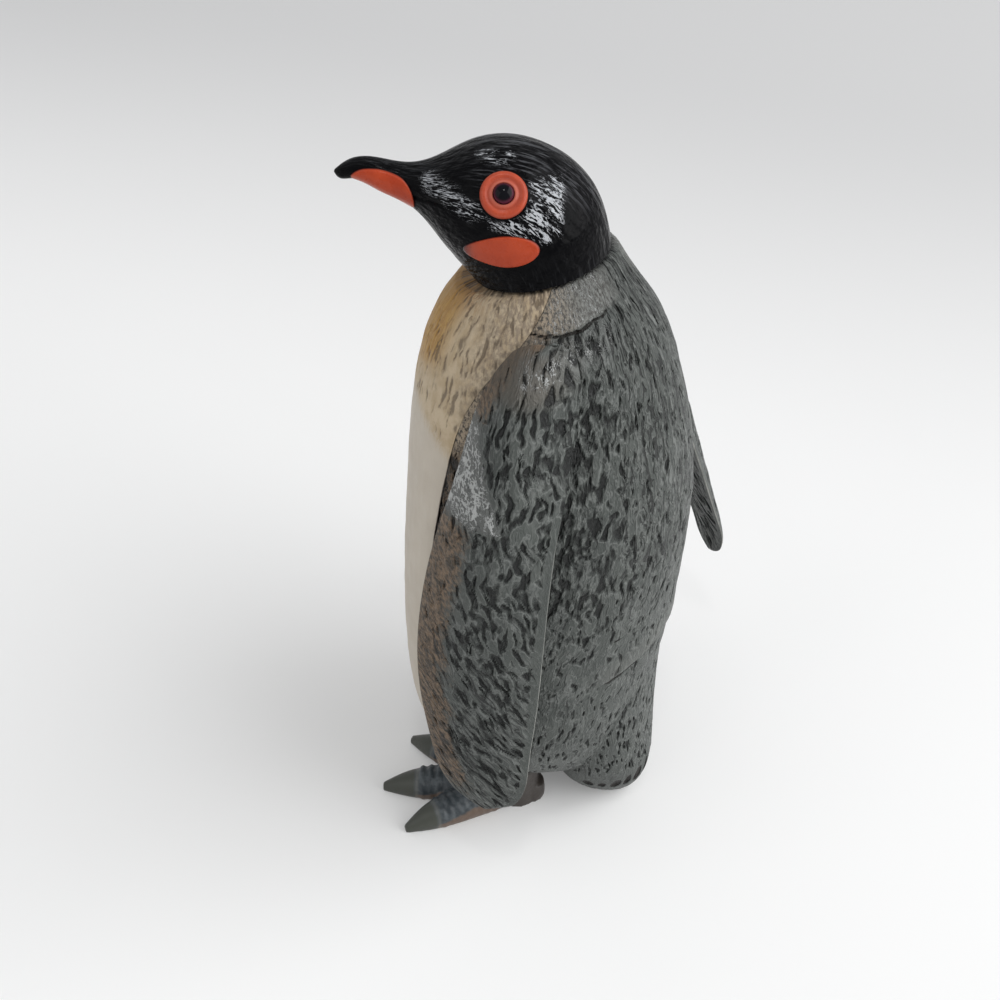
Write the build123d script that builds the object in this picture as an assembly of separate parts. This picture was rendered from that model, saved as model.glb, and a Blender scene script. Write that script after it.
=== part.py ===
import os
from math import cos, radians, sin, tan

from build123d import *

# Frame: the figure faces -Y, its left is +X, the floor is Z = 0 and the origin lies under the tail.
# The lengths below are laid out from a point under the body; every node then moves back by tail_offset.

# whole figure, mm
figure_height = 80.0
body_half_width = 16.2
belly_reach = 13.6
back_reach = 16.5
reach = 2 * figure_height  # longer than the figure, for cutting blocks
tail_offset = 12.5
half_turn_deg = 180.0

# body ribs from the hem to the neck, each a share of the lengths above
body_height_shares = [0.05, 0.10, 0.19, 0.31, 0.45, 0.55, 0.65, 0.725, 0.79, 0.84, 0.90]
body_front_shares = [0.45, 0.74, 0.925, 0.985, 0.98, 0.955, 0.925, 0.865, 0.73, 0.545, 0.38]
body_back_shares = [0.55, 0.74, 0.865, 0.945, 1.0, 1.0, 0.93, 0.83, 0.70, 0.52, 0.32]
body_width_shares = [0.36, 0.62, 0.93, 0.99, 1.0, 0.975, 0.90, 0.79, 0.65, 0.51, 0.40]
hem_height = body_height_shares[0] * figure_height
wall = 2.2
cavity_ribs = (1, 8)  # first and last rib that the cavity follows

# parting line of the two body halves, from the neck to the hem
parting_ys = [3.4, 1.3, -1.6, -4.9, -6.2, -6.8, -6.8]
parting_height_shares = [0.90, 0.816, 0.769, 0.645, 0.525, 0.3125, -0.0625]
seam_gap = 0.04
post_radius = 2.2
pin_radius = 1.0
pin_length = 2.2
pin_clearance = 0.05
post_spot_shares = [(0.49, 0.225), (0.37, 0.5875)]  # of half width and height, repeated on both sides

# tail wedge, ribs from its root to the floor
tail_height_shares = [0.3125, 0.20, 0.10, 0.0375, 0.0]
tail_fronts = [2.0, 4.0, 4.5, 4.6, 5.5]
tail_backs = [15.3, 15.2, 15.6, 15.4, 14.0]
tail_half_widths = [10.0, 8.6, 6.6, 4.2, 2.4]
tail_seam_share = 0.3425
tail_seam_slope_deg = 22.0
tail_face_y = 8.2
tail_seam_half_width = 11.5
tail_tongue = (9.0, 3.2, 8.0)  # width, depth into the back half, height
tail_tongue_share = 0.1875
tail_fit = 0.05
tail_quill_radius = 1.1
tail_quill_height = 3.4
tail_quill_count = 7
tail_quill_bite = 0.45

# neck joint
neck_y = -0.5
neck_height_share = 0.85375
neck_center = (0.0, neck_y, neck_height_share * figure_height)
neck_tilt_deg = 15.3
head_turn_deg = 18.6
neck_gap = 0.15
neck_peg_radius = 3.6
neck_clearance = 0.05
neck_collar_depth = 4.6
neck_collar_radius = 7.5
neck_flange_radius = 4.7
neck_flange_height = 1.5
neck_relief = 0.6  # room around the flange inside the body

# head ribs from the bill tip to the neck rim: throat and crown as Y and height over the neck, half width
head_ribs = [
    ((-19.7, 7.25), (-19.5, 7.95), 0.4),
    ((-18.2, 6.95), (-17.7, 8.95), 0.95),
    ((-15.6, 5.9), (-15.2, 8.85), 1.45),
    ((-12.7, 4.6), (-12.1, 8.7), 2.2),
    ((-11.35, 3.5), (-9.9, 9.45), 3.7),
    ((-10.3, 2.3), (-7.0, 10.8), 5.5),
    ((-9.2, 1.0), (-3.0, 11.25), 6.8),
    ((-8.3, -0.1), (1.6, 9.6), 7.3),
    ((-7.5, -0.95), (4.75, 6.2), 7.5),
    ((-6.8, -1.72), (6.15, 1.82), 7.5),
]
inlay_rise = 0.22  # how far an inlay stands proud of the head
inlay_depth = 0.6  # how deep it is let in
inlay_fit = 0.04

# orange plate on each side of the lower bill, outline as Y and height over the neck
plate_front = (-18.1, 7.65)
plate_crest = (-15.5, 8.32)
plate_rear_mid = (-12.75, 7.0)
plate_rear_low = (-12.2, 4.3)
plate_under = (-18.4, 5.2)
plate_inner = 0.45  # X of the plate's inner limit

# orange patch on each cheek
cheek_center = (-4.2, 3.35)  # Y and height over the neck
cheek_half_length = 3.5
cheek_half_height = 1.55
cheek_tilt_deg = 9.0

# eye: a round ring that follows the head's skin, with a domed pupil in its bore
eye_x = 6.08
eye_spot = (-4.18, 8.45)  # Y and height over the neck
eye_up_deg = 37.3
eye_forward_deg = 2.0
eye_radius = 2.15
eye_bore_radius = 0.95
eye_rise = 0.3
eye_depth = 0.6
eye_root = 2.4  # how deep the round cutters reach
pupil_edge = 0.2
pupil_rise = 0.6
pupil_fit = 0.04

# flippers, ribs from the shoulder to the tip
flipper_height_shares = [0.829, 0.794, 0.75, 0.675, 0.575, 0.45, 0.325, 0.2375, 0.181, 0.154]
flipper_fronts = [2.4, 0.0, -1.7, -2.8, -4.6, -6.1, -5.2, -3.1, -0.9, 1.2]
flipper_backs = [5.4, 6.6, 7.2, 7.4, 7.2, 7.0, 6.8, 6.4, 5.5, 4.5]
flipper_middle_shares = [0.636, 0.784, 0.907, 1.018, 1.105, 1.142, 1.173, 1.198, 1.21, 1.222]
flipper_half_thicknesses = [0.6, 1.3, 1.7, 1.8, 1.7, 1.5, 1.3, 1.1, 0.8, 0.5]
# how far the front and the rear edge lie closer to the body than the middle of the blade
flipper_front_pulls = [0.35, 0.85, 1.3, 1.1, 1.3, 1.1, 0.8, 0.5, 0.3, 0.2]
flipper_rear_pulls = [0.8, 2.0, 3.1, 2.3, 1.5, 1.1, 0.8, 0.5, 0.3, 0.2]
blade_edge_share = 0.22  # thickness at the edges as a share of that in the middle
shoulder_y = 2.7
shoulder_share = 0.7125
shoulder = (shoulder_y, shoulder_share * figure_height)  # Y and Z of the shoulder axis
twist_run = 20.0  # length below the shoulder over which a blade twists
right_twist_deg = 52.0
right_splay_deg = 10.0
right_swing_deg = 16.0
boss_radius = 3.5
boss_inner_share = 0.685
boss_outer_share = 0.95
bearing_inner_share = 0.457
boss_inner_x = boss_inner_share * body_half_width
boss_outer_x = boss_outer_share * body_half_width
bearing_inner_x = bearing_inner_share * body_half_width
boss_side_gap = 0.3
boss_face_gap = 0.25
peg_radius = 1.9
peg_clearance = 0.05
bearing_radius = 4.8
peg_head_radius = 2.5
peg_head_length = 1.4
peg_end_gap = 0.25
peg_slot = 0.8
peg_slot_depth = 3.4

# feet
foot_center = (6.2, 1.6)  # X and Y of the ankle
foot_turn_deg = 18.7
sole_sink_share = 0.35  # share of a toe's height that lies under the floor before trimming
toe_angles_deg = [-30.6, 0.0, 26.3]
toe_lengths = [15.0, 15.9, 14.4]
toe_half_widths = [2.1, 2.3, 2.1]
toe_root_height = 3.9
toe_length_shares = [0.0, 0.35, 0.62, 0.82, 1.0]
toe_width_shares = [1.0, 1.0, 0.92, 0.66, 0.2]
toe_height_shares = [1.0, 0.92, 0.78, 0.6, 0.22]
web_share = 0.62
web_thickness = 1.3
heel_back = 5.1
heel_half_width = 1.9
heel_height = 3.0
ankle_radius = 2.4
ankle_foot_radius = 3.0
ankle_top_share = 0.1125
ankle_top = ankle_top_share * figure_height
ankle_fit = 0.05


def block(low, high):
    sides = [b - a for a, b in zip(low, high)]
    middle = [(a + b) / 2 for a, b in zip(low, high)]
    return Pos(*middle) * Box(*sides)


def rod(start, direction, length, radius):
    return Plane(origin=start, z_dir=direction) * Cylinder(
        radius, length, align=(Align.CENTER, Align.CENTER, Align.MIN)
    )


# an oval drawn as two halves, so that every rib of a loft starts at the same place
def oval(across, along):
    starts = (half_turn_deg / 2, half_turn_deg + half_turn_deg / 2)
    halves = [
        EllipticalCenterArc((0, 0), across, along, start, arc_size=half_turn_deg) for start in starts
    ]
    return make_face(halves)


def rib(height, front, back, half_width, inset=0.0):
    middle = (front + back) / 2
    half_depth = (back - front) / 2
    plane = Plane(origin=(0, middle, height))
    return plane * oval(half_width - inset, half_depth - inset)


def body_rows():
    shares = zip(body_height_shares, body_front_shares, body_back_shares, body_width_shares)
    rows = []
    for height, front, back, width in shares:
        depths = (-front * belly_reach, back * back_reach)
        rows.append((height * figure_height, *depths, width * body_half_width))
    return rows


def neck_axis():
    tilt = radians(neck_tilt_deg)
    return Vector(0, -sin(tilt), cos(tilt))


def neck_point(depth):
    return Vector(*neck_center) - neck_axis() * depth


# everything above the neck face, as one block
def above_neck(depth):
    plane = Plane(origin=neck_point(depth), x_dir=(1, 0, 0), z_dir=neck_axis())
    return plane * Box(reach, reach, reach, align=(Align.CENTER, Align.CENTER, Align.MIN))


# the room that belongs to the tail: under its sloping seam and behind its face
def tail_room(grow):
    tilt = radians(tail_seam_slope_deg)
    under = Plane(
        origin=(0, tail_backs[0], tail_seam_share * figure_height + grow),
        x_dir=(1, 0, 0),
        z_dir=(0, -sin(tilt), cos(tilt)),
    ) * Box(reach, reach, reach, align=(Align.CENTER, Align.CENTER, Align.MAX))
    half = tail_seam_half_width + grow
    behind = block((-half, tail_face_y - grow, -reach), (half, reach, reach))
    return under & behind


def tail_heights():
    return [share * figure_height for share in tail_height_shares]


# outer form of body and tail together, flat at the neck and on the floor
def torso_form():
    torso = loft([rib(*row) for row in body_rows()])
    tail_rows = zip(tail_heights(), tail_fronts, tail_backs, tail_half_widths)
    torso = torso + loft([rib(*row) for row in tail_rows])
    return torso - above_neck(neck_gap)


def torso_cavity():
    first, last = cavity_ribs
    rows = body_rows()[first : last + 1]
    cavity = loft([rib(*row, inset=wall) for row in rows])
    return cavity - tail_room(wall)


def parting_points():
    return [(y, share * figure_height) for y, share in zip(parting_ys, parting_height_shares)]


# room in front of the parting line
def front_room(shift):
    line = [(y - shift, z) for y, z in parting_points()]
    low, high = line[-1], line[0]
    curve = Spline(*line)
    back_to_start = Polyline(low, (-reach, low[1]), (-reach, high[1]), high)
    outline = make_face(Plane.YZ * (curve + back_to_start))
    return extrude(outline, amount=reach, both=True)


def bearing(side):
    return rod((side * bearing_inner_x, *shoulder), (side, 0, 0), boss_outer_x, bearing_radius)


def shoulder_cuts(side):
    seat_x = side * (boss_inner_x - boss_face_gap)
    seat = rod((seat_x, *shoulder), (side, 0, 0), reach, boss_radius + boss_side_gap)
    bore = rod((0, *shoulder), (side, 0, 0), reach, peg_radius + peg_clearance)
    inner = block((0, -reach, -reach), (bearing_inner_x, reach, reach))
    if side < 0:
        inner = mirror(inner, about=Plane.YZ)
    return seat + (bore - inner)


def tongue(grow):
    width, depth, height = tail_tongue
    middle = tail_tongue_share * figure_height
    return block(
        (-width / 2 - grow, tail_face_y - depth - grow, middle - height / 2 - grow),
        (width / 2 + grow, tail_face_y, middle + height / 2 + grow),
    )


def ankle_pin(side, grow):
    x, y = foot_center
    low = hem_height / 2
    return rod((side * x, y, low), (0, 0, 1), ankle_top - low + grow, ankle_radius + grow)


def ankle_pad(side):
    x, y = foot_center
    return rod((side * x, y, hem_height), (0, 0, 1), ankle_top - hem_height + wall, ankle_radius + wall)


def torso_halves():
    form = torso_form()
    room = tail_room(0)
    body = form - room
    shell = body - torso_cavity()

    # solid pads inside for what plugs into the shell
    pads = bearing(1) + bearing(-1) + ankle_pad(1) + ankle_pad(-1) + tongue(wall)
    collar_low = neck_point(neck_collar_depth)
    pads = pads + rod(collar_low, neck_axis(), neck_collar_depth, neck_collar_radius)
    shell = shell + (pads & body)

    # openings for the neck peg, the shoulder pegs, the ankles and the tail's tongue
    shell = shell - rod(collar_low, neck_axis(), reach, neck_peg_radius + neck_clearance)
    relief_height = peg_end_gap + neck_flange_height + neck_relief
    relief_low = neck_point(neck_collar_depth + relief_height)
    shell = shell - rod(relief_low, neck_axis(), relief_height, neck_flange_radius + neck_relief)
    for side in (1, -1):
        shell = shell - shoulder_cuts(side) - ankle_pin(side, ankle_fit)

    front = shell & front_room(seam_gap)
    back = shell - front_room(0)
    spots = []
    for across, up in post_spot_shares:
        for side in (1, -1):
            spots.append((side * across * body_half_width, up * figure_height))
    for x, z in spots:
        post = rod((x, -reach, z), (0, 1, 0), 2 * reach, post_radius) & body
        front = front + (post & front_room(seam_gap))
        back = back + (post - front_room(0))
    for x, z in spots:
        seam_y = parting_y(z)
        hole_y = seam_y - pin_length - wall / 2
        front = front - rod((x, hole_y, z), (0, 1, 0), reach, pin_radius + pin_clearance)
        back = back + rod((x, seam_y - pin_length, z), (0, 1, 0), pin_length + post_radius, pin_radius)
    tail = (form & room) + tongue(0)
    return front, back - tongue(tail_fit), tail


# Y of the parting line at a height, read from its two nearest points
def parting_y(height):
    points = parting_points()
    for (y_high, high), (y_low, low) in zip(points, points[1:]):
        if low <= height <= high:
            part = (height - low) / (high - low)
            return y_low + (y_high - y_low) * part
    return parting_ys[-1]


# grooves between the quills along the tail's lower rear edge
def quill_cuts():
    low_front, low_back = tail_fronts[-2], tail_backs[-2]
    half_depth = (low_back - low_front) / 2
    middle = (low_back + low_front) / 2
    half_width = tail_half_widths[-2]
    cuts = []
    for i in range(tail_quill_count):
        angle = radians(half_turn_deg * i / (tail_quill_count - 1))
        x = half_width * cos(angle)
        y = middle + half_depth * sin(angle)
        outward = Vector(x / half_width, (y - middle) / half_depth, 0).normalized()
        start = Vector(x, y, 0) + outward * (tail_quill_radius - tail_quill_bite)
        cuts.append(rod(start, (0, 0, 1), tail_quill_height, tail_quill_radius))
        cuts.append(Pos(*(start + Vector(0, 0, tail_quill_height))) * Sphere(tail_quill_radius))
    return cuts


# a point given by its Y and its height over the neck
def over_neck(spot, x=0):
    y, rise = spot
    return Vector(x, y, neck_center[2] + rise)


def head_form():
    ribs = []
    for (throat_y, throat_z), (crown_y, crown_z), half_width in head_ribs:
        up = Vector(0, crown_y - throat_y, crown_z - throat_z)
        middle = over_neck(((throat_y + crown_y) / 2, (throat_z + crown_z) / 2))
        normal = Vector(1, 0, 0).cross(up)
        plane = Plane(origin=middle, x_dir=(1, 0, 0), z_dir=normal)
        ribs.append(plane * oval(half_width, up.length / 2))
    return loft(ribs)


def eye_plane():
    up, forward = radians(eye_up_deg), radians(eye_forward_deg)
    axis = (cos(up) * cos(forward), -cos(up) * sin(forward), sin(up))
    return Plane(origin=over_neck(eye_spot, eye_x), z_dir=axis)


def eye_rod(radius):
    return eye_plane() * Pos(0, 0, -eye_root) * Cylinder(
        radius, eye_root + body_half_width, align=(Align.CENTER, Align.CENTER, Align.MIN)
    )


# ring, pupil and the pocket for both; the ring takes its curved faces from the head's own skin
def eye_pieces(form):
    axis = eye_plane().z_dir
    proud = Pos(*(axis * eye_rise)) * form
    core = Pos(*(axis * -eye_depth)) * form
    ring = ((eye_rod(eye_radius) - eye_rod(eye_bore_radius)) & proud) - core
    pupil_radius = eye_bore_radius - pupil_fit
    dome_height = pupil_rise - pupil_edge
    dome_radius = (pupil_radius**2 + dome_height**2) / (2 * dome_height)
    dome = eye_plane() * Pos(0, 0, pupil_rise - dome_radius) * Sphere(dome_radius)
    pupil = (eye_rod(pupil_radius) & dome) - core
    pocket = eye_rod(eye_radius + inlay_fit) - core
    return ring, pupil, pocket


# the plate's room, its outline pushed out from its middle by the fit
def plate_prism(grow):
    corners = [plate_front, plate_crest, plate_rear_mid, plate_rear_low, plate_under]
    corners = [Vector(y, neck_center[2] + rise) for y, rise in corners]
    middle = sum(corners, Vector()) / len(corners)
    front, crest, rear, rear_low, under = [
        corner + (corner - middle).normalized() * grow for corner in corners
    ]
    outline = [ThreePointArc(front, crest, rear), Polyline(rear, rear_low, under, front)]
    face = make_face(Plane.YZ * Curve(outline))
    return Pos(plate_inner - grow, 0, 0) * extrude(face, amount=body_half_width, dir=(1, 0, 0))


def cheek_prism(grow):
    plane = Plane(origin=over_neck(cheek_center), x_dir=(0, 1, 0), z_dir=(1, 0, 0))
    shape = plane * Rot(0, 0, cheek_tilt_deg) * Ellipse(cheek_half_length + grow, cheek_half_height + grow)
    return extrude(shape, amount=body_half_width, dir=(1, 0, 0))


# the head looking straight ahead, with its inlays, as name and solid
def head_pieces():
    form = head_form()
    proud = Pos(inlay_rise, 0, 0) * form
    core = Pos(-inlay_depth, 0, 0) * form
    lefts = {}
    pockets = []
    for word, prism in (("bill_plate", plate_prism), ("cheek_patch", cheek_prism)):
        lefts[word] = (prism(0) & proud) - core
        pockets.append((prism(inlay_fit) & proud) - core)
    lefts["eye_ring"], lefts["pupil"], eye_pocket = eye_pieces(form)
    pockets.append(eye_pocket)
    head = form
    for pocket in pockets:
        head = head - pocket - mirror(pocket, about=Plane.YZ)
    pieces = {}
    for word, inlay in lefts.items():
        pieces[f"left_{word}"] = inlay
        pieces[f"right_{word}"] = mirror(inlay, about=Plane.YZ)
    collar_end = neck_collar_depth + peg_end_gap + neck_flange_height
    peg = rod(neck_point(collar_end), neck_axis(), collar_end + inlay_depth, neck_peg_radius)
    flange = rod(neck_point(collar_end), neck_axis(), neck_flange_height, neck_flange_radius)
    pieces["head"] = head + peg + flange
    return pieces


# cross section of a blade: bulged outside, both edges pulled towards the body
def blade_section(half_chord, half_thickness, front_pull, rear_pull):
    edge = half_thickness * blade_edge_share
    outer_front = (edge - front_pull, -half_chord)
    outer_rear = (edge - rear_pull, half_chord)
    inner_front = (-edge - front_pull, -half_chord)
    inner_rear = (-edge - rear_pull, half_chord)
    outer = Spline(outer_front, (half_thickness, 0), outer_rear)
    inner = Spline(inner_rear, (-half_thickness, 0), inner_front)
    return make_face([outer, Line(outer_rear, inner_rear), inner, Line(inner_front, outer_front)])


# one flipper for the left side, its blade splayed and twisted below the shoulder
def flipper(splay_deg, twist_deg):
    y, z = shoulder
    sections = zip(flipper_half_thicknesses, flipper_front_pulls, flipper_rear_pulls)
    places = zip(flipper_height_shares, flipper_fronts, flipper_backs, flipper_middle_shares)
    ribs = []
    for (height_share, front, back, middle_share), section in zip(places, sections):
        height = height_share * figure_height
        drop = max(0, z - height)
        turn = twist_deg * min(1, drop / twist_run)
        half_chord = (back - front) / 2
        lean = middle_share * body_half_width + drop * tan(radians(splay_deg))
        # the blade turns about its rear edge
        middle_x = lean + half_chord * sin(radians(turn))
        middle_y = back - half_chord * cos(radians(turn))
        plane = Plane(origin=(middle_x, middle_y, height)) * Rot(0, 0, turn)
        ribs.append(plane * blade_section(half_chord, *section))
    blade = loft(ribs)
    boss = rod((boss_inner_x, *shoulder), (1, 0, 0), boss_outer_x - boss_inner_x, boss_radius)
    head_x = bearing_inner_x - peg_end_gap - peg_head_length
    peg = rod((head_x, *shoulder), (1, 0, 0), boss_outer_x - head_x, peg_radius)
    button = rod((head_x, *shoulder), (1, 0, 0), peg_head_length, peg_head_radius)
    slot = block(
        (head_x, y - peg_slot / 2, z - peg_head_radius),
        (head_x + peg_slot_depth, y + peg_slot / 2, z + peg_head_radius),
    )
    return blade + boss + peg + button - slot


# one toe along -Y from the ankle, trimmed flat on the floor
def toe(length, half_width):
    ribs = []
    for along, width, height in zip(toe_length_shares, toe_width_shares, toe_height_shares):
        tall = toe_root_height * height
        half_height = tall / (2 - sole_sink_share)
        plane = Plane(origin=(0, -along * length, tall - half_height), x_dir=(1, 0, 0), z_dir=(0, -1, 0))
        ribs.append(plane * oval(half_width * width, half_height))
    return loft(ribs)


def foot():
    x, y = foot_center
    parts = [Rot(0, 0, a) * toe(n, w) for a, n, w in zip(toe_angles_deg, toe_lengths, toe_half_widths)]
    tips = [
        (web_share * n * sin(radians(a)), -web_share * n * cos(radians(a)))
        for a, n in zip(toe_angles_deg, toe_lengths)
    ]
    heel_corner = heel_back - heel_half_width
    sheet = Polyline((-heel_half_width, heel_corner), *tips, (heel_half_width, heel_corner), close=True)
    web = extrude(make_face(sheet), amount=web_thickness)
    heel = rod((0, heel_corner, 0), (0, 0, 1), heel_height, heel_half_width)
    cone = Cone(ankle_foot_radius, ankle_radius, hem_height, align=(Align.CENTER, Align.CENTER, Align.MIN))
    solid = web + heel + cone
    for part in parts:
        solid = solid + part
    solid = solid - block((-reach, -reach, -reach), (reach, reach, 0))
    placed = Pos(x, y, 0) * Rot(0, 0, foot_turn_deg) * solid
    return placed + ankle_pin(1, 0)


def build():
    nodes = {}
    front, back, tail = torso_halves()
    for cut in quill_cuts():
        tail = tail - cut
    nodes["breast_half"] = front
    nodes["back_half"] = back
    nodes["tail"] = tail
    left_foot = foot()
    nodes["left_foot"] = left_foot
    nodes["right_foot"] = mirror(left_foot, about=Plane.YZ)

    turn_axis = Axis(neck_center, tuple(neck_axis()))
    for name, solid in head_pieces().items():
        nodes[name] = solid.rotate(turn_axis, head_turn_deg)

    nodes["left_flipper"] = flipper(0, 0)
    right = mirror(flipper(right_splay_deg, right_twist_deg), about=Plane.YZ)
    nodes["right_flipper"] = right.rotate(Axis((0, *shoulder), (1, 0, 0)), right_swing_deg)
    return nodes


os.makedirs("parts", exist_ok=True)
for name, solid in build().items():
    export_step(Pos(0, -tail_offset, 0) * solid, f"parts/{name}.step")
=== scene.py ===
import math

import bmesh
import bpy
import numpy as np
from mathutils import Matrix, Vector
from mathutils.bvhtree import BVHTree


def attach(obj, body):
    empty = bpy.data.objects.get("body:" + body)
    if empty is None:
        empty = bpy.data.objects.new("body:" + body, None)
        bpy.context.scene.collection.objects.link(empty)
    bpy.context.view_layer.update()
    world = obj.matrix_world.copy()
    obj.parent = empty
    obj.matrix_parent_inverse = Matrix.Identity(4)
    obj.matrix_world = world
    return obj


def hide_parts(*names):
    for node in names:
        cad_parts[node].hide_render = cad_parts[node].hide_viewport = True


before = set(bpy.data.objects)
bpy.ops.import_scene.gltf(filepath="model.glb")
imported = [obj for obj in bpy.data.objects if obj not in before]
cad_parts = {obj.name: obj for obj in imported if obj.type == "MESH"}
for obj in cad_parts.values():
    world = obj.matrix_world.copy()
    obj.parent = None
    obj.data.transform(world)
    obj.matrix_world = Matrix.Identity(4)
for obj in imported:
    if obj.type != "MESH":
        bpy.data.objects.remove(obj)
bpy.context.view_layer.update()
print("frame loaded")

# the tables below are in mm from a point under the body; this moves them to the frame's origin
layoutShift = np.array([0.0, -12.5, 0.0])
metre = 0.001
sharpAngle = 50.0


# curves and noise


# a smooth line through table points, as a function of the first column; it gives one array for each other column
def smoothLine(xs, ys):
    xs, ys = np.asarray(xs, float), np.asarray(ys, float)
    isPlain = ys.ndim == 1
    ys = ys.reshape(len(xs), -1)
    if xs[0] > xs[-1]:
        xs, ys = xs[::-1], ys[::-1]
    count = len(xs)
    step = np.diff(xs)
    slope = np.diff(ys, axis=0) / step[:, None]
    system = np.eye(count)
    right = np.zeros_like(ys)
    for i in range(1, count - 1):
        system[i, i - 1 : i + 2] = step[i - 1], 2 * (step[i - 1] + step[i]), step[i]
        right[i] = 3 * (slope[i] - slope[i - 1])
    bend = np.linalg.solve(system, right)

    def at(x):
        x = np.clip(np.asarray(x, float), xs[0], xs[-1])
        i = np.clip(np.searchsorted(xs, x, side="right") - 1, 0, count - 2)
        d = (x - xs[i])[..., None]
        h = step[i][..., None]
        lead = slope[i] - h * (2 * bend[i] + bend[i + 1]) / 3
        curl = (bend[i + 1] - bend[i]) / (3 * h)
        found = ys[i] + d * (lead + d * (bend[i] + d * curl))
        return found[..., 0] if isPlain else np.moveaxis(found, -1, 0)

    return at


def ease(low, high, value):
    t = np.clip((value - low) / (high - low), 0, 1)
    return t * t * (3 - 2 * t)


def bell(value, middle, width):
    return np.exp(-(((value - middle) / width) ** 2))


def cellHash(key, seed):
    low32 = np.uint64(0xFFFFFFFF)
    mixed = key[..., 0] * np.uint64(374761393) + key[..., 1] * np.uint64(668265263)
    mixed = (mixed + key[..., 2] * np.uint64(2246822519) + np.uint64(seed * 40503 + 7)) & low32
    for shift, factor in ((15, 2246822519), (13, 3266489917)):
        mixed = ((mixed ^ (mixed >> np.uint64(shift))) * np.uint64(factor)) & low32
    return mixed ^ (mixed >> np.uint64(16))


# smooth gradient noise on a lattice, about -1 to 1
def latticeNoise(points, seed):
    cell = np.floor(points)
    inside = points - cell
    cell = cell.astype(np.int64).astype(np.uint64)
    fade = inside**3 * (inside * (inside * 6 - 15) + 10)
    total = np.zeros(points.shape[:-1])
    for corner in np.ndindex(2, 2, 2):
        offset = np.array(corner)
        mixed = cellHash(cell + offset.astype(np.uint64), seed)
        weight = np.prod(np.where(offset, fade, 1 - fade), axis=-1)
        reach = inside - offset
        lean = np.zeros_like(total)
        for axis, shift in enumerate((0, 10, 20)):
            lean += (((mixed >> np.uint64(shift)) & np.uint64(1023)) / 511.5 - 1) * reach[..., axis]
        total += lean * weight
    return total * 1.7


# distance to the nearest scattered point, one in each square of X and Z
def scatterDistance(points, seed):
    cell = np.floor(points)
    cell[..., 1] = 0
    best = np.full(points.shape[:-1], 9.0)
    for dx, dz in np.ndindex(3, 3):
        near = cell + (dx - 1, 0, dz - 1)
        mixed = cellHash(near.astype(np.int64).astype(np.uint64), seed)
        away = []
        for axis, shift in ((0, 0), (2, 12)):
            jitter = ((mixed >> np.uint64(shift)) & np.uint64(4095)) / 4095 * 0.8
            away.append(near[..., axis] + jitter - points[..., axis])
        best = np.minimum(best, np.hypot(*away))
    return best


pitMaker = {
    "sway": (0.75, 0.75, 1.0),  # slow wander of the rows and quick shake of each pit, in mm
    "quiver": (0.38, 0.38, 0.55),
    "spread": (1.5, 1.0, 0.28),  # pits in a mm across and along the feathers
    "maze": (0.62, 0.62, 0.13),  # winding grooves that join the pits
    "cellReach": (0.62, -0.27),  # reach by amount, and at none
    "grooveReach": (0.62, -0.50),
    "grooveWidth": 0.85,
    "band": 0.20,
    "broken": 0.24,
    "wall": (-0.14, 0.22),  # where a pit's side starts and ends
    "depth": 0.16,
}


# feather pits over a piece: long cells in wavering rows and grooves that join them, above zero inside a pit;
# the same value dents the mesh and darkens the paint
def featherPits(place, amount):
    make = pitMaker
    sway = [latticeNoise(place * 0.22 + 17.3 * i, 81 + i) for i in range(3)]
    quiver = [latticeNoise(place * (1.1, 1.1, 0.66) + 9.1 * i, 85 + i) for i in range(3)]
    moved = place + np.stack(sway, -1) * make["sway"] + np.stack(quiver, -1) * make["quiver"]
    band = latticeNoise(moved * (1.0, 1.0, 0.20), 91)
    broken = latticeNoise(moved * (2.0, 2.0, 0.9) + 5.3, 93)
    near = scatterDistance(moved * make["spread"], 95)
    maze = np.abs(latticeNoise(moved * make["maze"] + 3.7, 97))
    cells = make["cellReach"][0] * amount + make["cellReach"][1] - near - make["band"] * band
    grooves = make["grooveReach"][0] * amount + make["grooveReach"][1] - make["grooveWidth"] * maze
    return np.maximum(cells, grooves) + make["broken"] * broken


def dented(over):
    return pitMaker["depth"] * ease(*pitMaker["wall"], over)


# meshes


def fullTurn(count):
    return np.linspace(0, 2 * math.pi, count, endpoint=False)


# a mesh with its faces turned outwards
def outwardMesh(name, points, faces):
    mesh = bpy.data.meshes.new(name)
    mesh.from_pydata(points.tolist(), [], faces)
    work = bmesh.new()
    work.from_mesh(mesh)
    bmesh.ops.recalc_face_normals(work, faces=work.faces)
    work.to_mesh(mesh)
    work.free()
    return mesh


def linked(name, data):
    thing = bpy.data.objects.new(name, data)
    bpy.context.collection.objects.link(thing)
    return thing


# fields are values or vectors for each point, which the paints read
def makePiece(name, points, faces, fields, material):
    mesh = outwardMesh(name, (points + layoutShift) * metre, faces)
    mesh.polygons.foreach_set("use_smooth", np.ones(len(mesh.polygons), bool))
    mesh.set_sharp_from_angle(angle=math.radians(sharpAngle))
    for key, values in fields.items():
        values = np.asarray(values, np.float32)
        isVector = values.ndim == 2
        field = mesh.attributes.new(key, "FLOAT_VECTOR" if isVector else "FLOAT", "POINT")
        field.data.foreach_set("vector" if isVector else "value", values.ravel())
    mesh.materials.append(material)
    return linked(name, mesh)


# outward normals of a grid of points, away from the middle of each row
def gridNormals(grid, wrap):
    along = np.gradient(grid, axis=0)
    if wrap:
        across = np.roll(grid, -1, axis=1) - np.roll(grid, 1, axis=1)
    else:
        across = np.gradient(grid, axis=1)
    normal = np.cross(across, along)
    normal /= np.linalg.norm(normal, axis=-1, keepdims=True) + 1e-12
    outward = grid - grid.mean(axis=1, keepdims=True)
    if (normal * outward).sum() < 0:
        normal = -normal
    return normal


def raised(grid, rise, wrap=True):
    return grid + gridNormals(grid, wrap) * rise[..., None]


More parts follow.
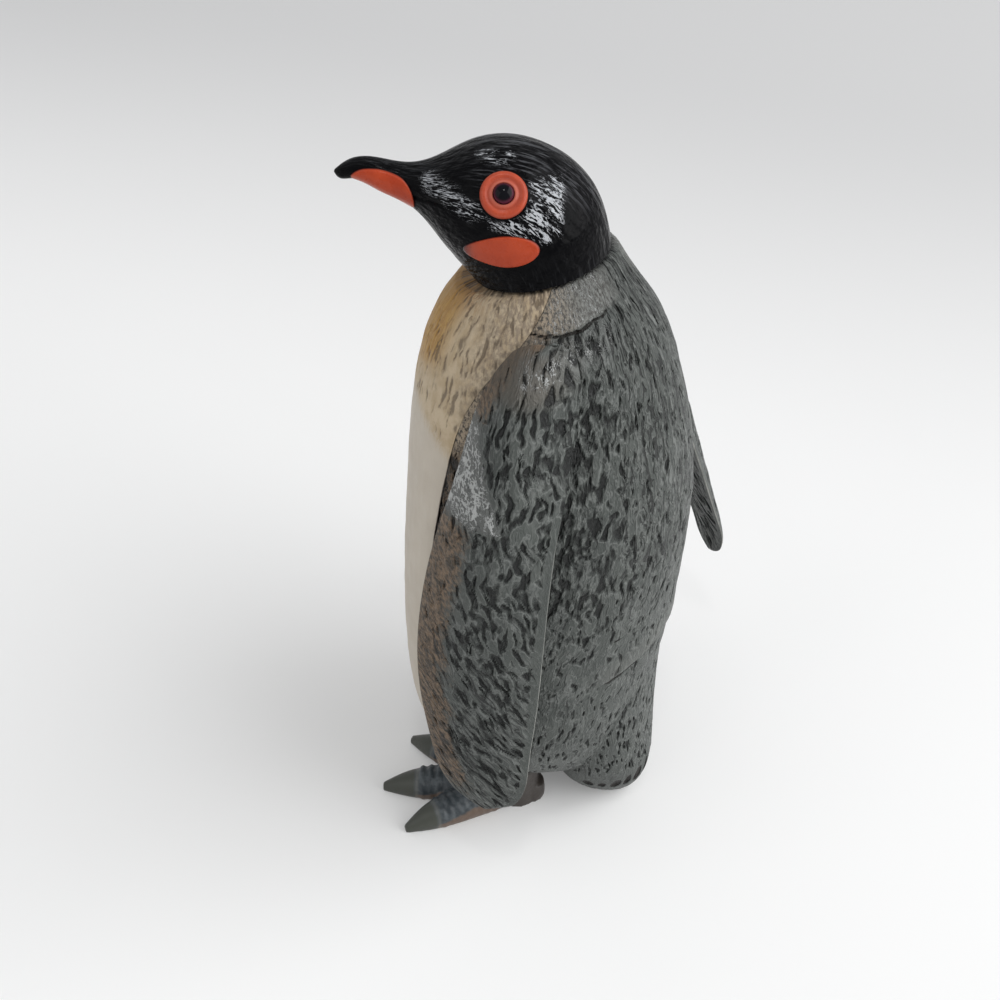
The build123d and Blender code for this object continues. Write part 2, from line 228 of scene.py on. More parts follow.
# rows of closed loops with a fan at each end
def closedTube(grid, fields):
    rows, columns = grid.shape[:2]
    index = np.arange(rows * columns).reshape(rows, columns)
    beside = np.roll(index, -1, axis=1)
    quads = np.stack([index[:-1], beside[:-1], beside[1:], index[1:]], -1).reshape(-1, 4)
    points = np.vstack([grid.reshape(-1, 3), grid[0].mean(0), grid[-1].mean(0)])
    faces = quads.tolist()
    for row, pole in ((0, rows * columns), (rows - 1, rows * columns + 1)):
        ring = index[row]
        faces += [[int(a), int(b), pole] for a, b in zip(ring, np.roll(ring, -1))]
    flat = {}
    for key, values in fields.items():
        values = np.asarray(values, float)
        ends = np.stack([values[0].mean(0), values[-1].mean(0)])
        flat[key] = np.concatenate([values.reshape(rows * columns, *values.shape[2:]), ends])
    return points, faces, flat


# closes each row of an open grid with a straight run of points back to its start
def closeRows(grid, fields, count):
    share = (np.arange(1, count + 1) / (count + 1))[None, :, None]
    chord = grid[:, -1:] * (1 - share) + grid[:, :1] * share
    whole = np.concatenate([grid, chord], axis=1)
    return whole, {
        key: np.concatenate([values, np.repeat(values[:, -1:], count, axis=1)], axis=1)
        for key, values in fields.items()
    }


# node helpers


# a value in a node tree, so that sums of masks read as plain sums
class Wire:
    def __init__(self, socket):
        self.socket = socket
        self.tree = socket.id_data

    def __add__(self, other):
        return combined("ADD", self, other)

    def __sub__(self, other):
        return combined("SUBTRACT", self, other)

    def __rsub__(self, other):
        return combined("SUBTRACT", other, self)

    def __mul__(self, other):
        return combined("MULTIPLY", self, other)


def feed(target, source):
    if isinstance(source, Wire):
        source.tree.links.new(source.socket, target)
    else:
        target.default_value = source


def addNode(tree, kind, output, **values):
    node = tree.nodes.new(kind)
    for key, value in values.items():
        feed(node.inputs[key.replace("_", " ")], value)
    return Wire(node.outputs[output])


def combined(operation, first, second=0.0):
    wire = first if isinstance(first, Wire) else second
    isVector = wire.socket.type in ("VECTOR", "RGBA")
    node = wire.tree.nodes.new("ShaderNodeVectorMath" if isVector else "ShaderNodeMath")
    node.operation = operation
    feed(node.inputs[0], first)
    feed(node.inputs[1], second)
    return Wire(node.outputs[0])


def mixColour(factor, first, second):
    node = factor.tree.nodes.new("ShaderNodeMix")
    node.data_type = "RGBA"
    for place, source in ((0, factor), (6, first), (7, second)):
        feed(node.inputs[place], (*source, 1.0) if isinstance(source, tuple) else source)
    return Wire(node.outputs[2])


# coats of paint over a first colour, each with its mask
def layered(colour, coats):
    for mask, tone in coats:
        colour = mixColour(mask, colour, tone)
    return colour


def ranged(source, low, high, toLow=0.0, toHigh=1.0):
    node = source.tree.nodes.new("ShaderNodeMapRange")
    node.interpolation_type = "SMOOTHSTEP"
    for place, value in enumerate((source, low, high, toLow, toHigh)):
        feed(node.inputs[place], value)
    return Wire(node.outputs[0])


def noiseOf(vector, scale, detail=3.0, rough=0.55, output="Fac"):
    return addNode(
        vector.tree, "ShaderNodeTexNoise", output, Vector=vector, Scale=scale, Detail=detail, Roughness=rough
    )


def stretched(vector, scale, shift=(0.0, 0.0, 0.0)):
    return addNode(vector.tree, "ShaderNodeMapping", "Vector", Vector=vector, Scale=scale, Location=shift)


# a mask that noise makes ragged: where the field plus swing times the noise passes a half
def raggedMask(field, noise, swing, soft=0.2):
    return ranged(field + (noise - 0.5) * swing, 0.5 - soft, 0.5 + soft)


def objectSpot(tree):
    return addNode(tree, "ShaderNodeTexCoord", "Object")


# a material, its tree and shader, and a function that reads a piece's fields by name
def newMaterial(name, **values):
    material = bpy.data.materials.new(name)
    material.use_nodes = True
    tree = material.node_tree
    shader = tree.nodes["Principled BSDF"]
    for key, value in values.items():
        shader.inputs[key.replace("_", " ")].default_value = value

    def field(label):
        node = tree.nodes.new("ShaderNodeAttribute")
        node.attribute_name = label
        return Wire(node.outputs["Vector" if label in ("flow", "comb") else "Fac"])

    return material, tree, shader, field


def finishPaint(shader, colour, rough, height=None, strength=1.0, depth=0.0):
    feed(shader.inputs["Base Color"], colour)
    feed(shader.inputs["Roughness"], rough)
    if height is not None:
        bump = addNode(height.tree, "ShaderNodeBump", "Normal", Height=height, Strength=strength, Distance=depth)
        feed(shader.inputs["Normal"], bump)


# inputs with no first value are vectors
def newGroup(name, outputs, **inputs):
    group = bpy.data.node_groups.new(name, "ShaderNodeTree")
    for label, value in inputs.items():
        kind = "NodeSocketVector" if value is None else "NodeSocketFloat"
        socket = group.interface.new_socket(name=label, in_out="INPUT", socket_type=kind)
        if value is not None:
            socket.default_value = value
    for label in outputs:
        group.interface.new_socket(name=label, in_out="OUTPUT", socket_type="NodeSocketFloat")
    given = group.nodes.new("NodeGroupInput").outputs
    return group, {label: Wire(given[label]) for label in inputs}, group.nodes.new("NodeGroupOutput").inputs


def useGroup(tree, group, **values):
    node = tree.nodes.new("ShaderNodeGroup")
    node.node_tree = group
    for key, value in values.items():
        feed(node.inputs[key], value)
    return {socket.name: Wire(socket) for socket in node.outputs}


# shared effects


# fine grain of brushed paint over a moulded skin
def grainGroup():
    group, given, result = newGroup("paintGrain", ["Height", "Tone"], Vector=None, Size=2600.0)
    feed(result["Height"], noiseOf(given["Vector"], given["Size"], 4.0, 0.6))
    feed(result["Tone"], noiseOf(given["Vector"], 260.0, 3.0, 0.5))
    return group


# paint in and round the feather pits, on a vector in mm that runs along the feathers in Z:
# dark pits with a pale lip, fine strands with pale ridges and grooves between them, and fibres; the pale lip and
# the pale ridges are painted highlights
def featherGroup():
    group, given, result = newGroup(
        "featherMarks", ["Mask", "Pale", "Height", "Fibre"], Vector=None, Over=-1.0, Lines=0.5
    )
    flow, lines = given["Vector"], given["Lines"]
    middle = (0.5, 0.5, 0.5)
    drift = (noiseOf(flow, 0.22, 1.0, 0.5, "Color") - middle) * (2.2, 2.2, 3.0)
    quiver = (noiseOf(stretched(flow, (1.0, 1.0, 0.6)), 1.1, 1.5, 0.5, "Color") - middle) * (1.1, 1.1, 1.6)
    moved = flow + drift + quiver
    fray = noiseOf(stretched(moved, (3.4, 3.4, 1.6), (7.3, 1.7, 4.1)), 1.0, 2.0)
    strand = noiseOf(stretched(moved, (2.3, 2.3, 0.13), (2.0, 5.0, 3.0)), 1.0, 2.0, 0.5)
    fibre = noiseOf(stretched(moved, (4.2, 4.2, 0.45), (3.0, 8.0, 1.0)), 1.0, 2.0)
    over = given["Over"] + (fray - 0.5) * 0.3
    pit = ranged(over, -0.09, 0.10) * 0.55 + ranged(over, 0.05, 0.12) * 0.45
    line = ranged(0.5 - strand - (0.30 - lines * 0.27), -0.02, 0.05)
    lip = ranged(over, -0.17, -0.10) - ranged(over, -0.09, -0.03)
    ridge = ranged(strand, 0.53, 0.68) * lines
    feed(result["Mask"], combined("MAXIMUM", line * 0.85, pit))
    # the painted highlight: pale on each pit's lip and on the strands' ridges
    feed(result["Pale"], combined("MAXIMUM", lip * 0.7, ridge))
    feed(result["Height"], ridge * 0.5 + fibre * 0.45 - ranged(over, -0.14, 0.22) * 0.65 - line * 0.45)
    feed(result["Fibre"], fibre)
    return group


# thin wandering pale strokes, as dry-brushed paint on the mantle and as painted glints on the hood; the vector is
# in mm
def dryBrushAndGlintGroup():
    group, given, result = newGroup("dryBrushAndGlint", ["Mask"], Cover=0.0, Vector=None, Fineness=1.2)
    strokes = noiseOf(given["Vector"], given["Fineness"], 3.0, 0.62)
    gaps = noiseOf(given["Vector"], given["Fineness"] * 0.55, 2.0, 0.5)
    wide = given["Cover"] * ranged(gaps, 0.34, 0.62, 0.25, 1.0) * 0.055 - 0.010
    feed(result["Mask"], ranged(wide - combined("ABSOLUTE", strokes - 0.5), -0.006, 0.018))
    return group


# a thin dark line where a distance in mm runs to zero, with a ragged edge
def seamGroup():
    group, given, result = newGroup("seamLine", ["Mask"], Distance=5.0, Vector=None, Width=0.14)
    reach = noiseOf(given["Vector"], 1.7, 3.0, 0.6) * 2.0 * given["Width"]
    feed(result["Mask"], ranged(reach - given["Distance"], -0.07, 0.05))
    return group


paintGrain = grainGroup()
featherMarks = featherGroup()
dryBrushAndGlint = dryBrushAndGlintGroup()
seamLine = seamGroup()
print("shared paint effects made")


# materials

mantleTones = {
    "grey": (0.058, 0.065, 0.060),
    "greyWarm": (0.078, 0.086, 0.079),
    "pale": (0.21, 0.22, 0.21),
    "pit": (0.0045, 0.0050, 0.0050),
    "tan": (0.20, 0.14, 0.092),
    "tanDark": (0.050, 0.041, 0.031),
    "haze": (0.100, 0.086, 0.068),
    "beige": (0.36, 0.29, 0.21),
    "slate": (0.168, 0.174, 0.162),
    "patchDark": (0.043, 0.038, 0.031),
    "chalk": (0.175, 0.178, 0.172),
    "silver": (0.50, 0.51, 0.50),
    # painted highlight on the lip over the tail seam and along the flippers' edges
    "rim": (0.30, 0.30, 0.28),
    "seam": (0.014, 0.012, 0.010),
    "hood": (0.006, 0.006, 0.007),
}


def mantleMaterial():
    tones = mantleTones
    material, tree, shader, field = newMaterial("mantlePaint", Roughness=0.45, Specular_IOR_Level=0.3)
    flow, worn = field("flow"), field("scuff")
    grain = useGroup(tree, paintGrain, Vector=objectSpot(tree))
    marks = useGroup(tree, featherMarks, Vector=flow, Over=field("over"), Lines=field("lines"))
    scuff = useGroup(tree, dryBrushAndGlint, Cover=worn * 1.5, Vector=stretched(flow, (1.0, 1.0, 0.7)), Fineness=1.7)
    seam = useGroup(tree, seamLine, Distance=field("seam"), Vector=flow, Width=0.11)
    mottle = noiseOf(flow, 2.2, 4.0, 0.65)
    brown = mixColour(ranged(mottle, 0.38, 0.62), tones["tanDark"], tones["tan"])
    speckle = ranged(noiseOf(flow, 2.4, 4.0, 0.7), 0.44, 0.60)
    patch = mixColour(speckle, mixColour(field("cool"), tones["beige"], tones["slate"]), tones["patchDark"])
    colour = mixColour(ranged(grain["Tone"], 0.35, 0.7), tones["grey"], tones["greyWarm"])
    colour = layered(colour, [
        (ranged(marks["Fibre"], 0.50, 0.76, 0.0, 0.35), tones["pale"]),
        # painted highlight on the pits' lips and on the strands' ridges
        (marks["Pale"] * 0.68, tones["pale"]),
        (raggedMask(field("tan"), mottle, 0.9, 0.35), brown),
        (field("haze"), tones["haze"]),
        (field("patch"), patch),
        (worn * 0.5, tones["chalk"]),
        (marks["Mask"] * 0.90, tones["pit"]),
        (scuff["Mask"] * 0.85, tones["silver"]),
        (seam["Mask"], tones["seam"]),
        # painted highlight on the tail seam's lip and on the flippers' edges
        (field("rim"), tones["rim"]),
        (field("fringe"), tones["hood"]),
    ])
    height = marks["Height"] + grain["Height"] * 0.3 - seam["Mask"] * 0.7 + scuff["Mask"] * 0.15
    finishPaint(shader, colour, ranged(marks["Mask"], 0.0, 1.0, 0.46, 0.36), height, strength=1.0, depth=0.0004)
    return material


breastTones = {
    "bone": (0.575, 0.515, 0.43),
    "boneShade": (0.545, 0.485, 0.403),
    "sand": (0.46, 0.355, 0.225),
    "beige": (0.56, 0.455, 0.315),
    "gold": (0.47, 0.285, 0.085),
    "goldDeep": (0.37, 0.20, 0.055),
    "rust": (0.27, 0.125, 0.045),
    "dusk": (0.150, 0.118, 0.096),
    "spot": (0.085, 0.060, 0.038),
    "seam": (0.060, 0.042, 0.033),
    "hood": (0.008, 0.008, 0.009),
}


def breastMaterial():
    tones = breastTones
    material, tree, shader, field = newMaterial("breastPaint", Roughness=0.5, Specular_IOR_Level=0.35)
    flow = field("flow")
    grain = useGroup(tree, paintGrain, Vector=objectSpot(tree))
    marks = useGroup(tree, featherMarks, Vector=flow, Over=field("over"), Lines=field("lines"))
    seam = useGroup(tree, seamLine, Distance=field("seam"), Vector=flow, Width=0.06)
    streak = marks["Fibre"]
    blotch = noiseOf(flow, 0.55, 4.0, 0.6)
    fine = noiseOf(flow, 1.9, 4.0, 0.65)
    sandy = mixColour(ranged(blotch, 0.38, 0.62), tones["sand"], tones["beige"])
    golden = mixColour(ranged(streak, 0.38, 0.62), tones["goldDeep"], tones["gold"])
    colour = mixColour(ranged(grain["Tone"], 0.35, 0.65), tones["boneShade"], tones["bone"])
    colour = layered(colour, [
        (raggedMask(field("warm"), streak, 0.8, 0.4), sandy),
        (raggedMask(field("gold"), blotch, 0.5, 0.45), golden),
        (field("throat") * ranged(streak, 0.36, 0.62), tones["rust"]),
        (field("dusk") * ranged(fine, 0.40, 0.58, 0.25, 1.0), tones["dusk"]),
        (marks["Mask"] * 0.68, tones["spot"]),
        (seam["Mask"], tones["seam"]),
        (field("fringe"), tones["hood"]),
    ])
    height = marks["Height"] * 0.6 + grain["Height"] * 0.3 - seam["Mask"]
    finishPaint(shader, colour, ranged(blotch, 0.3, 0.7, 0.44, 0.58), height, strength=0.6, depth=0.0002)
    return material


hoodTones = {"black": (0.0022, 0.0022, 0.0028), "dust": (0.074, 0.076, 0.082), "silver": (0.46, 0.475, 0.50)}


def hoodMaterial():
    tones = hoodTones
    material, tree, shader, field = newMaterial(
        "hoodGloss", Roughness=0.22, Specular_IOR_Level=0.04, Coat_Weight=0.035, Coat_Roughness=0.06
    )
    comb, dust = field("comb"), field("dust")
    grain = useGroup(tree, paintGrain, Vector=objectSpot(tree), Size=2000.0)
    strand = noiseOf(stretched(comb, (0.17, 1.0, 1.0)), 2.6, 3.0, 0.6)
    strokeSpot = stretched(comb, (0.26, 1.0, 1.0))
    # pale strokes behind the eye, on the lores and on the brow: painted glints on the glossy black
    silver = useGroup(tree, dryBrushAndGlint, Cover=field("silver") * 1.6, Vector=strokeSpot, Fineness=2.3)
    # grey dust with painted sheen in streaks: on the crown, on top of the bill as a painted sky reflection, and
    # along the hood's lower edge
    colour = mixColour(dust * ranged(strand, 0.50, 0.70), tones["black"], tones["dust"])
    colour = mixColour(silver["Mask"], colour, tones["silver"])
    height = strand * dust + grain["Height"] * 0.16 + silver["Mask"] * 0.5 + noiseOf(comb, 0.7, 2.0, 0.5) * 4.0
    finishPaint(shader, colour, ranged(strand, 0.35, 0.7, 0.16, 0.34), height, strength=0.6, depth=0.00015)
    return material


orangeTones = {
    "orange": (0.47, 0.060, 0.018),
    "deep": (0.37, 0.040, 0.012),
    "pink": (0.55, 0.19, 0.14),
    "edge": (0.03, 0.008, 0.010),
}


def orangeMaterial():
    tones = orangeTones
    material, tree, shader, field = newMaterial(
        "orangeGloss", Roughness=0.3, Specular_IOR_Level=0.2, Coat_Weight=0.1, Coat_Roughness=0.12
    )
    spot = objectSpot(tree)
    grain = useGroup(tree, paintGrain, Vector=spot, Size=1500.0)["Height"]
    cloud = noiseOf(spot, 420.0, 3.0, 0.6)
    colour = mixColour(ranged(cloud, 0.35, 0.68), tones["orange"], tones["deep"])
    # pale pink: painted rim light along the bill plates' lower edges, a painted highlight on the eye rings' inner
    # lip, and a paler front end on the cheek patches
    colour = layered(colour, [(field("pale"), tones["pink"]), (field("edge"), tones["edge"])])
    finishPaint(shader, colour, ranged(grain, 0.3, 0.7, 0.24, 0.36), grain, strength=0.25, depth=0.00008)
    return material


pupilTones = {"black": (0.004, 0.004, 0.006), "ring": (0.085, 0.012, 0.028)}


def pupilMaterial():
    material, tree, shader, field = newMaterial(
        "pupilGloss", Roughness=0.08, Specular_IOR_Level=0.1, Coat_Weight=0.05, Coat_Roughness=0.03
    )
    cloud = noiseOf(objectSpot(tree), 900.0, 3.0, 0.5)
    ring = field("edge") * ranged(cloud, 0.3, 0.6, 0.6, 1.0)
    colour = mixColour(ring, pupilTones["black"], pupilTones["ring"])
    finishPaint(shader, colour, ranged(cloud, 0.3, 0.7, 0.05, 0.12))
    return material


footTones = {
    "slate": (0.034, 0.043, 0.050),
    "slatePale": (0.080, 0.094, 0.102),
    "claw": (0.056, 0.060, 0.048),
    "band": (0.155, 0.160, 0.145),
    "web": (0.140, 0.096, 0.070),
    # ankle and heel: a brownish tone darkened as painted shade, where they stand in shadow under the body
    "ankle": (0.055, 0.046, 0.040),
}


def footMaterial():
    tones = footTones
    material, tree, shader, field = newMaterial("footPaint", Roughness=0.4)
    spot = objectSpot(tree)
    grain = useGroup(tree, paintGrain, Vector=spot, Size=2200.0)["Height"]
    mottle = noiseOf(spot, 1100.0, 3.0, 0.6)
    colour = mixColour(ranged(mottle, 0.4, 0.68), tones["slate"], tones["slatePale"])
    colour = layered(colour, [
        (raggedMask(field("web"), mottle, 0.5), tones["web"]),
        (raggedMask(field("ankle"), mottle, 0.5), tones["ankle"]),
        (field("claw"), tones["claw"]),
        (field("band"), tones["band"]),
    ])
    finishPaint(shader, colour, ranged(mottle, 0.3, 0.7, 0.34, 0.5), grain, strength=0.5, depth=0.0001)
    return material


mantlePaint = mantleMaterial()
breastPaint = breastMaterial()
hoodGloss = hoodMaterial()
orangeGloss = orangeMaterial()
pupilGloss = pupilMaterial()
footPaint = footMaterial()
print("paints mixed")


# torso: breast half and back half

torso = {
    "height": [4.0, 8.0, 15.2, 24.8, 36.0, 44.0, 52.0, 58.0, 63.2, 67.2, 72.0],
    "front": [-6.12, -10.06, -12.58, -13.40, -13.33, -12.99, -12.58, -11.76, -9.93, -7.41, -5.17],
    "back": [9.08, 12.21, 14.27, 15.59, 16.5, 16.5, 15.35, 13.70, 11.55, 8.58, 5.28],
    "halfWidth": [5.83, 10.04, 15.07, 16.04, 16.2, 15.80, 14.58, 12.80, 10.53, 8.26, 6.48],
    # height and Y of the seam between the halves
    "parting": [(72.0, 3.4), (65.28, 1.3), (61.52, -1.6), (51.6, -4.9), (42.0, -6.2), (25.0, -6.8), (-5.0, -6.8)],
    "seamGap": 0.03,
    "hem": 4.0,
    "neckPoint": (-0.5, 68.3),
    "neckTilt": 15.3,
    "neckGap": 0.15,
    "rows": 300,
    "backColumns": 300,
    "breastColumns": 170,
    # seam round the shoulders as angle from the side and height
    "shoulderSeam": [
        (-20.0, 65.7), (4.7, 65.5), (16.1, 65.35), (26.9, 65.5), (40.6, 66.06), (57.4, 66.72), (90.0, 67.3)
    ],
    # where the white belly turns to tan, as angle from the middle of the breast and height
    "paleBorder": [(0, 55.5), (35, 55.0), (63, 52.5), (90, 46.0)],
    "tailSeam": (15.3, 27.4, 22.0),  # Y, height and slope in degrees
    "tailSeamHalfWidth": 11.5,
    "crease": ((10.7, 12.6, 31.9), (7.5, 14.5, 32.4)),  # ends of a short dark line over the tail
    # rise of the lip over the tail seam, and depths of the grooves, in mm
    "tailLip": 0.22,
    "tailGroove": 0.16,
    "shoulderGroove": 0.10,
    "creaseGroove": 0.12,
    "partingGroove": 0.05,
    "neckTuck": 0.35,
    "innerColumns": 14,  # across the flat inner side of a half
    "sideTop": 69.0,  # top of the rows that the parting is read at
    "topGuess": 68.0,  # where the search for the neck's edge starts
    "radius": 14,  # mean radius, which turns an angle into mm round the body
}


def bodyLine(table):
    return smoothLine(table["height"], np.stack([table[key] for key in ("front", "back", "halfWidth")], 1))


torsoLine = bodyLine(torso)
partingLine = smoothLine(*zip(*torso["parting"]))
shoulderLine = smoothLine(*zip(*torso["shoulderSeam"]))
neckSlope = math.tan(math.radians(torso["neckTilt"]))


def torsoPoint(angle, height):
    front, back, half = torsoLine(height)
    middle, reach = (front + back) / 2, (back - front) / 2
    return np.stack([half * np.cos(angle), middle + reach * np.sin(angle), height], -1)


def neckHeight(y):
    return torso["neckPoint"][1] - torso["neckGap"] + (y - torso["neckPoint"][0]) * neckSlope


# a grid over one half: angle 90 degrees is the middle of the back, -90 of the breast
def torsoGrid(columns, isBack):
    share = np.linspace(0, 1, torso["rows"])[:, None]
    sideHeight = torso["hem"] + (torso["sideTop"] - torso["hem"]) * share
    front, back, _ = torsoLine(sideHeight)
    seam = partingLine(sideHeight) + (torso["seamGap"] if isBack else -torso["seamGap"])
    start = np.arcsin(np.clip((seam - (front + back) / 2) / ((back - front) / 2), -0.98, 0.98))
    across = np.linspace(0, 1, columns)[None, :]
    if isBack:
        angle = start + (math.pi - 2 * start) * across
    else:
        angle = start - (math.pi + 2 * start) * across
    top = np.full(angle.shape, torso["topGuess"])
    for _ in range(6):
        top = neckHeight(torsoPoint(angle, top)[..., 1])
    height = torso["hem"] + (top - torso["hem"]) * share
    return angle, height, torsoPoint(angle, height)


# distance from the nearer parting edge of a half, in mm
def partingDistance(grid):
    step = np.linalg.norm(np.diff(grid, axis=1), axis=2)
    run = np.concatenate([np.zeros((len(grid), 1)), np.cumsum(step, axis=1)], axis=1)
    return np.minimum(run, run[:, -1:] - run)


def spanDistance(points, first, last):
    first, last = np.array(first), np.array(last)
    along = last - first
    t = np.clip(((points - first) @ along) / (along @ along), 0, 1)
    return np.linalg.norm(points - first - t[..., None] * along, axis=-1)


# a place in mm on the unrolled body
def meridian(angle, height):
    return np.stack([torso["radius"] * angle, 0 * angle, height], -1)


# brown haze and pale scratches below the shoulder seam, the same on the back and on the flippers' tops
def shoulderWear(fold, shoulder):
    haze = ease(0.0, -0.8, shoulder) * ease(-5.2, -2.6, shoulder) * ease(38, 15, fold) * 0.75
    scratch = bell(shoulder, -1.6, 1.5) * ease(0, 12, fold) * ease(62, 48, fold) * 0.5
    return haze, scratch


# black that the hood's feathered edge leaves on the body
def neckFringe(place, below):
    ragged = latticeNoise(place * (1.6, 1.6, 0.4), 17) + 0.6 * latticeNoise(place * (3.6, 3.6, 0.7), 19)
    return ease(0.1, -0.1, below + 0.02 - 0.14 * ragged)


# low uneven relief of the moulded skin
def skinRelief(place):
    return 0.05 * latticeNoise(place / (0.9, 0.9, 3.4), 31) + 0.05 * latticeNoise(place / 2.4, 33)


# what the mantle's paint reads, with zero for what a piece doesn't have
def mantleFields(place, over, lines, **marks):
    names = ("seam", "tan", "haze", "patch", "cool", "scuff", "rim", "fringe")
    return {"flow": place, "over": over, "lines": lines, **{key: marks.get(key, 0 * over) for key in names}}


# raises the grid, rounds the half's edges at the parting and neck, and closes it
def closedHalf(name, grid, rise, parting, neckGap, fields, paint):
    rise -= torso["partingGroove"] * bell(parting, 0.0, 0.3) + torso["neckTuck"] * ease(0.8, 0.0, neckGap) ** 2
    whole = closeRows(raised(grid, rise, False), fields, torso["innerColumns"])
    return makePiece(name, *closedTube(*whole), paint)


def buildBack():
    angle, height, grid = torsoGrid(torso["backColumns"], True)
    place = meridian(angle, height)
    x, y = grid[..., 0], grid[..., 1]
    fold = np.degrees(np.minimum(angle, math.pi - angle))
    shoulder = height - shoulderLine(fold)
    seamY, seamZ, slope = torso["tailSeam"]
    slope = math.radians(slope)
    tailSeam = (height - seamZ - (y - seamY) * math.tan(slope)) * math.cos(slope)
    tailSide = ease(torso["tailSeamHalfWidth"] + 1.0, torso["tailSeamHalfWidth"] - 1.0, np.abs(x)) * (y > 6)
    crease = spanDistance(np.stack([np.abs(x), y, height], -1), *torso["crease"]) + 0.02
    parting = partingDistance(grid)
    wander = 0.22 * latticeNoise(place / 1.3, 61)
    shoulderSeam = np.abs(shoulder + wander) + 3 * ease(56, 66, fold)
    # the tail seam's dark line sits just under the lip: a dark joint with painted shadow under the lip
    seams = np.minimum(shoulderSeam, 0.5 * np.abs(tailSeam + 0.3 + wander) + 4 * (1 - tailSide))
    seam = np.minimum(np.minimum(seams, crease), parting + 0.6 * ease(52, 56, height))
    woodGrain = ease(34, 60, fold) * ease(32, 44, height)  # long fine strands down the middle of the back
    low = ease(40, 29, height)
    margin = ease(2.8, 1.6, parting) * ease(52, 55, height) * ease(66, 64, height)
    patch = np.maximum(ease(-0.2, 0.5, shoulder) * ease(82, 56, fold), margin)
    over = featherPits(place, (0.92 - 0.26 * woodGrain - 0.26 * low) * (1 - patch))
    lines = (0.45 + 0.45 * woodGrain) * (1 - patch) + 0.45 * patch * ease(20, 45, fold)
    neckGap = neckHeight(y) - height
    haze, scratch = shoulderWear(fold, shoulder)
    rise = skinRelief(place) - dented(over)
    rise += torso["tailLip"] * ease(3.0, 0.3, tailSeam) * ease(-0.25, 0.1, tailSeam) * tailSide
    rise -= torso["tailGroove"] * bell(tailSeam, -0.35, 0.35) * tailSide
    rise -= torso["shoulderGroove"] * bell(shoulderSeam, 0.0, 0.25) + torso["creaseGroove"] * bell(crease, 0.0, 0.3)
    fields = mantleFields(
        place, over, lines, seam=seam, haze=haze, patch=patch, cool=ease(10, 44, fold),
        tan=ease(3.4, 0.8, parting) * ease(34, 44, height),
        scuff=np.clip(scratch + 0.42 * patch * ease(4, 22, fold), 0, 1),
        # painted highlight on the lip over the tail seam
        rim=0.16 * ease(3.2, 0.6, tailSeam) * ease(-0.1, 0.3, tailSeam) * tailSide,
        fringe=neckFringe(place, neckGap),
    )
    return closedHalf("Back", grid, rise, parting, neckGap, fields, mantlePaint)


def buildBreast():
    angle, height, grid = torsoGrid(torso["breastColumns"], False)
    place = meridian(angle, height)
    side = np.degrees(np.arccos(np.clip(-np.sin(angle), -1, 1)))  # 0 at the middle of the breast, 90 at the flank
    parting = partingDistance(grid)
    border = np.interp(side, *zip(*torso["paleBorder"]))
    gold = ease(56.5, 61.0, height) * ease(62, 30, side) + 0.5 * ease(53.5, 57.0, height) * ease(40, 12, side)
    upper = ease(50, 57, height)
    over = featherPits(place, (0.24 * ease(18, 44, side) + 0.58) * upper)
    neckGap = neckHeight(grid[..., 1]) - height
    rise = 0.04 * latticeNoise(place / (0.8, 0.8, 4.0), 53) + 0.05 * latticeNoise(place / 2.6, 55)
    rise -= 0.6 * dented(over)
    fields = {
        "flow": place,
        "over": over,
        "lines": 0.30 * upper,
        "seam": parting + 0.6 * ease(52, 56, height),
        "warm": ease(border - 2.2, border + 2.2, height),
        "gold": np.clip(gold, 0, 1),
        "throat": ease(63.5, 67.5, height) * ease(75, 45, side) * 0.85,
        "dusk": ease(52, 82, side) * ease(border + 2, border + 8, height) * 0.62,
        "fringe": neckFringe(place, neckGap),
    }
    return closedHalf("Breast", grid, rise, parting, neckGap, fields, breastPaint)


back = buildBack()
breast = buildBreast()
print("torso halves built")


# tail wedge with its row of quill ends

tail = {
    "height": [25.0, 16.0, 8.0, 3.0, 0.0],
    "front": [2.0, 4.0, 4.5, 4.6, 5.5],
    "back": [15.3, 15.2, 15.6, 15.4, 14.0],
    "halfWidth": [10.0, 9.2, 7.5, 5.0, 2.6],
    "rows": 170,
    "columns": 260,
    "quills": 12,
    "quillHeight": 4.4,
    "quillHalf": (0.62, 1.6),  # half width and half height of a dark quill end
    "quillDepth": 0.3,
    "top": 24.6,
    "edgeRadius": 0.6,
}


def buildTail():
    height = np.linspace(0.0, tail["top"], tail["rows"])[:, None]
    angle = fullTurn(tail["columns"])[None, :]
    front, rear, half = bodyLine(tail)(height)
    tuck = tail["edgeRadius"] * (1 - ease(0.0, 1.0, height)) ** 2  # rounds the lower edge
    x = (half - tuck) * np.cos(angle)
    y = (front + rear) / 2 + ((rear - front) / 2 - tuck) * np.sin(angle)
    grid = np.stack([x, y, height + 0 * angle], -1)
    place = meridian(angle + 0 * height, height + 0 * angle) * (0.6, 1.0, 1.0)
    halfWide, halfTall = tail["quillHalf"]
    row = np.argmin(np.abs(height[:, 0] - tail["quillHeight"]))
    oval = np.full(x.shape, 9.0)
    for i in range(tail["quills"]):
        away = grid - grid[row, np.argmin(np.abs(angle[0] - math.pi * i / (tail["quills"] - 1)))]
        wide = halfWide * (1.0 if i % 2 == 0 else 0.75)
        across = np.hypot(away[..., 0], away[..., 1])
        oval = np.minimum(oval, (np.hypot(across / wide, away[..., 2] / halfTall) - 1) * wide)
    quillZone = ease(7.5, 5.5, height) + 0 * x
    over = featherPits(place, 0.74 * (1 - quillZone))
    rise = 0.05 * latticeNoise(place / (0.8, 0.8, 2.6), 71) - tail["quillDepth"] * ease(0.15, -0.3, oval)
    rise = (rise - dented(over)) * ease(0.0, 0.5, height)
    fields = mantleFields(place, over, 0.35 - 0.25 * quillZone, seam=oval + 0.12)
    return makePiece("Tail", *closedTube(raised(grid, rise), fields), mantlePaint)


tailFan = buildTail()
print("tail built")


# flippers

